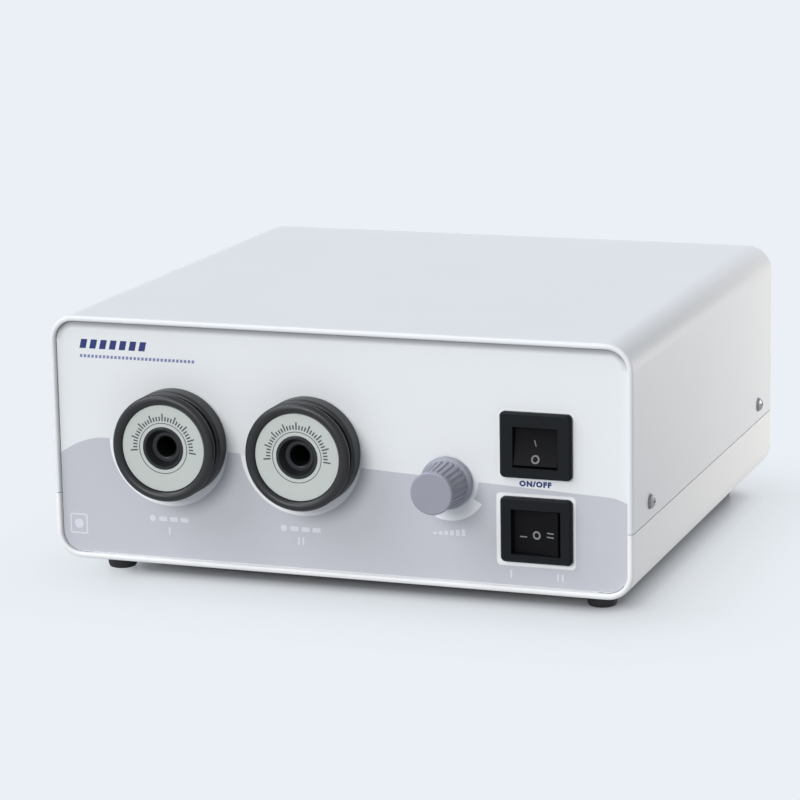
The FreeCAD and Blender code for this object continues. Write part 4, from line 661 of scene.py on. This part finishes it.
# %% White outline of the power switch
OUTLINE, OUTLINE_CORNER = 1.0, 3.0  # how far the outline shows round the switch's rim
OVERLAP, OVERLAP_CORNER = 1.0, 1.0  # how far it reaches in under the rim
low, high = (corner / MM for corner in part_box("power_switch_housing"))
low_z, high_z = low.z - UNDERSIDE / MM, high.z - UNDERSIDE / MM
printed("power_outline", [rounded(low.x - OUTLINE, high.x + OUTLINE, low_z - OUTLINE, high_z + OUTLINE,
                                  OUTLINE_CORNER),
                          rounded(low.x + OVERLAP, high.x - OVERLAP, low_z + OVERLAP, high_z - OVERLAP,
                                  OVERLAP_CORNER)], white_ink)

# %% The knob's dial
DIAL_INNER, DIAL_START, DIAL_SWEEP, DIAL_WIDE, DIAL_THIN = 11.5, -30.0, -80.0, 17.1, 16.3
DIAL_STEPS = 40
wedge = []
for k in range(DIAL_STEPS + 1):
    angle = math.radians(DIAL_START + DIAL_SWEEP * k / DIAL_STEPS)
    reach = DIAL_WIDE + (DIAL_THIN - DIAL_WIDE) * k / DIAL_STEPS
    wedge.append((knob_centre.x + reach * math.cos(angle), knob_centre.z + reach * math.sin(angle)))
inner = arc(knob_centre.x, knob_centre.z, DIAL_INNER, DIAL_START + DIAL_SWEEP, DIAL_START, DIAL_STEPS)
printed("knob_dial", [wedge + inner], white_ink, FIELD_FRONT)

# %% [markdown]
# ## Scale on the outlet plates
# Each face plate has a thin dark circle round the barrel, and a scale of radial ticks over its upper
# half. They are placed by angle, long ticks every fourth.

# %% Plate prints
CIRCLE_R, CIRCLE_W = 10.9, 0.3
TICK_R, TICK_SHORT, TICK_LONG, TICK_W = 11.9, 1.9, 3.2, 0.6
FIRST_TICK, LAST_TICK, TICKS = -6.0, 186.0, 33


def tick(centre, angle, length):
    """A radial stroke on a face plate."""
    out = Vector((math.cos(angle), math.sin(angle)))
    side = Vector((-out.y, out.x)) * TICK_W / 2
    foot = Vector((centre.x, centre.z)) + out * TICK_R
    tip = foot + out * length
    return [tuple(foot - side), tuple(tip - side), tuple(tip + side), tuple(foot + side)]


for number, centre in enumerate(port_centres, 1):
    plate_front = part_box(f"port_{number}_face_plate")[0].y
    marks = ring(centre.x, centre.z, CIRCLE_R + CIRCLE_W / 2, CIRCLE_R - CIRCLE_W / 2)
    for k in range(TICKS):
        angle = math.radians(FIRST_TICK + (LAST_TICK - FIRST_TICK) * k / (TICKS - 1))
        marks.append(tick(centre, angle, TICK_SHORT if k % 4 else TICK_LONG))
    printed(f"plate_{number}_scale", marks, black_ink, plate_front)

# %% [markdown]
# ## Marks on the rockers
# A rocker's face is hollow and tilted, so a flat print would float over it or sink in. Each point of the
# mark is shot straight back on to the rocker's mesh and keeps the depth that it meets. The marks ride on
# the rockers.

# %% Marks that follow the rocker
def lay_on(piece, node):
    """Moves every point of a thin print back until the print lies on the node's front."""
    target = BVHTree.FromObject(frame["nodes"][node], bpy.context.evaluated_depsgraph_get())
    middle_y = sum(v.co.y for v in piece.data.vertices) / len(piece.data.vertices)
    for vertex in piece.data.vertices:
        x, y, z = vertex.co
        hit = target.ray_cast(Vector((x, -1, z)), Vector((0, 1, 0)))[0]
        vertex.co.y = hit.y - INK * MM + (y - middle_y)
    print(piece.name, "now lies from y", round(min(v.co.y for v in piece.data.vertices) / MM, 2), "mm")


# %% Pad-printed inks
# Pad-printed ink on nylon: a grey-white, and a darker grey on the power rocker.
rocker_ink = finish("grey_pad_ink", ("747578", "808184"), patch=2, grain=0.3, depth=0.002,
                    roughness=(0.4, 0.5), IOR=1.5)
power_rocker_ink = finish("darker_pad_ink", ("55565A", "626367"), patch=1.5, grain=0.3, depth=0.002,
                  roughness=(0.4, 0.5), IOR=1.5)
print("rocker inks", rocker_ink.name, power_rocker_ink.name)

# %% Marks on both rockers
bpy.context.view_layer.update()
POWER_STROKE, POWER_LEAN, POWER_CIRCLE = (88.3, 88.8, 62.6, 65.2), -0.8, (88.5, 57.4, 1.8, 1.1)
power_drawing = [bar(*POWER_STROKE, lean=POWER_LEAN)] + ring(*POWER_CIRCLE)
power_marks = printed("power_marks", power_drawing, power_rocker_ink, body="power_rocker")
lay_on(power_marks, "power_rocker")
LEFT_STROKE, SELECTOR_CIRCLE = (81.0, 84.1, 23.6, 24.1), (88.5, 25.0, 1.8, 1.05)
RIGHT_STROKES = ((93.2, 96.4, 26.3, 26.8), (93.2, 96.4, 24.6, 25.1))
selector_drawing = [bar(*LEFT_STROKE)] + ring(*SELECTOR_CIRCLE) + [bar(*edges) for edges in RIGHT_STROKES]
selector_marks = printed("selector_rocker_marks", selector_drawing, rocker_ink, body="selector_rocker")
lay_on(selector_marks, "selector_rocker")

# %% [markdown]
# ## Floor and backdrop
# The instrument stands on a pale, slightly glossy sheet, lit from below, that runs into the background
# without an edge. Under the case the sheet only shows what lamp light gets there, so the gap between the
# feet is dark. Round the case the shadow is painted: from just inside the case's walls outwards the sheet's
# own light takes over, until it is the plain background colour. The stops of a colour ramp say how fast.

# %% What is seen and what lights
def seen_plainly(tree, plain, otherwise):
    """The plain strength for camera, reflections and glass, the other for light that falls on things."""
    path = add(tree, "LightPath")
    seen = add(tree, "Math", {0: path.outputs["Is Camera Ray"], 1: path.outputs["Is Glossy Ray"]},
               operation="ADD")
    seen = add(tree, "Math", {0: seen.outputs[0], 1: path.outputs["Is Transmission Ray"]}, operation="ADD",
               use_clamp=True)
    strength = add(tree, "MapRange", {"Value": seen.outputs[0], "To Min": otherwise, "To Max": plain})
    return strength.outputs[0]


# %% Floor sheet
BACKGROUND = "EBF0F6"
FLOOR_SIZE = 12.0  # metres
SHEET_GLOW = 0.6  # what the sheet's own light adds to the object
bpy.ops.mesh.primitive_grid_add(x_subdivisions=8, y_subdivisions=8, size=FLOOR_SIZE)
floor = bpy.context.object
floor.name = "floor_sheet"
# Acrylic sheet, matt on top: mid grey by lamp light, with a soft reflection of what stands on it.
material = bpy.data.materials.new("pale_acrylic_sheet")
material.use_nodes = True
tree = material.node_tree
tree.nodes.clear()
lit = add(tree, "BsdfPrincipled", {"Base Color": paint("9C9D9F"), "Roughness": 0.25, "IOR": 1.35})
glow_strength = seen_plainly(tree, 1.0, SHEET_GLOW)
own_light = add(tree, "Emission", {"Color": paint(BACKGROUND), "Strength": glow_strength})
floor.data.materials.append(material)
print("floor", FLOOR_SIZE, "m square")

# %% Painted shadow: from lamp light to the sheet's own light
# Painted shadow round the case, over the real one in the lamp-lit part: the sheet's own light fades in with
# distance from the walls, so the sheet is darker close to the case.
PAINTED_SHADOW_STOPS = ((-30, 0.0), (-21, 0.10), (-15, 0.38), (-9, 0.66), (-3, 0.77), (10, 0.84), (30, 0.93),
              (70, 1.0))  # mm outside the case's walls, and the share of the sheet's own light there
PAINTED_SHADOW_START, PAINTED_SHADOW_END = PAINTED_SHADOW_STOPS[0][0], PAINTED_SHADOW_STOPS[-1][0]
PAINTED_SHADOW_SHIFT = 7.0  # mm that the painted shadow lies to the right, away from the lamps
case_low, case_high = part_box("top_cover")
shade_centre = (case_low + case_high) / 2 + Vector((PAINTED_SHADOW_SHIFT, 0, 0)) * MM
shade_half = (case_high - case_low) / 2 + Vector((PAINTED_SHADOW_START, PAINTED_SHADOW_START, 0)) * MM
away = distance_outside(tree, shade_centre, shade_half, plane=(1, 1, 0))
share = add(tree, "MapRange", {"Value": away, "From Max": (PAINTED_SHADOW_END - PAINTED_SHADOW_START) * MM})
painted_shadow_ramp = add(tree, "ValToRGB", {0: share.outputs[0]})
for stop, (distance, value) in enumerate(PAINTED_SHADOW_STOPS):
    position = (distance - PAINTED_SHADOW_START) / (PAINTED_SHADOW_END - PAINTED_SHADOW_START)
    element = painted_shadow_ramp.color_ramp.elements[stop] if stop < 2 else painted_shadow_ramp.color_ramp.elements.new(position)
    element.position = position
    element.color = (value, value, value, 1)
both = add(tree, "MixShader", {0: painted_shadow_ramp.outputs[0], 1: lit.outputs[0], 2: own_light.outputs[0]})
add(tree, "OutputMaterial", {"Surface": both.outputs[0]})
print("glow stops", len(painted_shadow_ramp.color_ramp.elements))

# %% [markdown]
# ## Light
# A product like this is shown in a bright tent. A wide soft source hangs above, a smaller one stands in
# front on the left, and the tent fills the rest evenly. The first gives the shade under the front lip and
# along the right-hand fold, the second the shadows of collars and knob. Suns with wide discs stand for
# both, because their light has the same strength everywhere. A low soft box behind on the right brightens
# the side towards the back.

# %% World and lamps
world = bpy.data.worlds.new("light_tent")
bpy.context.scene.world = world
world.use_nodes = True
tree = world.node_tree
tree.nodes.clear()
TENT = 0.36
tent = add(tree, "Background", {"Color": paint(BACKGROUND), "Strength": seen_plainly(tree, 1.0, TENT)})
add(tree, "OutputWorld", {"Surface": tent.outputs[0]})


def lamp(name, kind, strength, hex_colour, direction, place=(0, 0, 0), **settings):
    """A lamp that shines along a direction."""
    light = bpy.data.lights.new(name, kind)
    light.energy = strength
    light.color = paint(hex_colour)[:3]
    for setting, value in settings.items():
        setattr(light, setting, value)
    piece = bpy.data.objects.new(name, light)
    piece.location = place
    piece.rotation_euler = Vector(direction).to_track_quat("-Z", "Y").to_euler()
    bpy.context.scene.collection.objects.link(piece)
    return piece


lamp("top_light", "SUN", 1.86, "F4F7FF", (0.60, 0.28, -0.75), angle=math.radians(44))
lamp("front_light", "SUN", 1.56, "FFFDFA", (0.20, 0.90, -0.39), angle=math.radians(28))
side_light = lamp("side_light", "AREA", 1.8, "FFF7ED", (-0.37, -0.24, 0.01), place=(0.50, 0.36, 0.06),
                  size=0.25)
side_light.visible_camera = False
print("lamps", [light.name for light in bpy.data.lights])

# %% [markdown]
# ## Camera
# A long lens from the front right, a little above the case, so that the front, the side and the top all
# show. The camera leans by one degree.

# %% Camera
CAMERA_PLACE, CAMERA_AIM = Vector((0.46469, -1.31004, 0.36874)), Vector((0.03133, -0.11678, 0.08882))
CAMERA_LENS, CAMERA_SENSOR, CAMERA_LEAN = 141.7, 36.0, -0.995  # mm, mm and degrees
camera = bpy.data.objects.new("camera", bpy.data.cameras.new("camera"))
camera.data.lens = CAMERA_LENS
camera.data.sensor_width = CAMERA_SENSOR
aim = (CAMERA_AIM - CAMERA_PLACE).to_track_quat("-Z", "Y")
aim = aim @ Quaternion((0, 0, 1), math.radians(CAMERA_LEAN))
camera.location = CAMERA_PLACE
camera.rotation_euler = aim.to_euler()
bpy.context.scene.collection.objects.link(camera)
bpy.context.scene.camera = camera
bpy.context.scene.view_settings.view_transform = "Standard"
print("the camera stands", round((CAMERA_AIM - CAMERA_PLACE).length, 2), "m away")
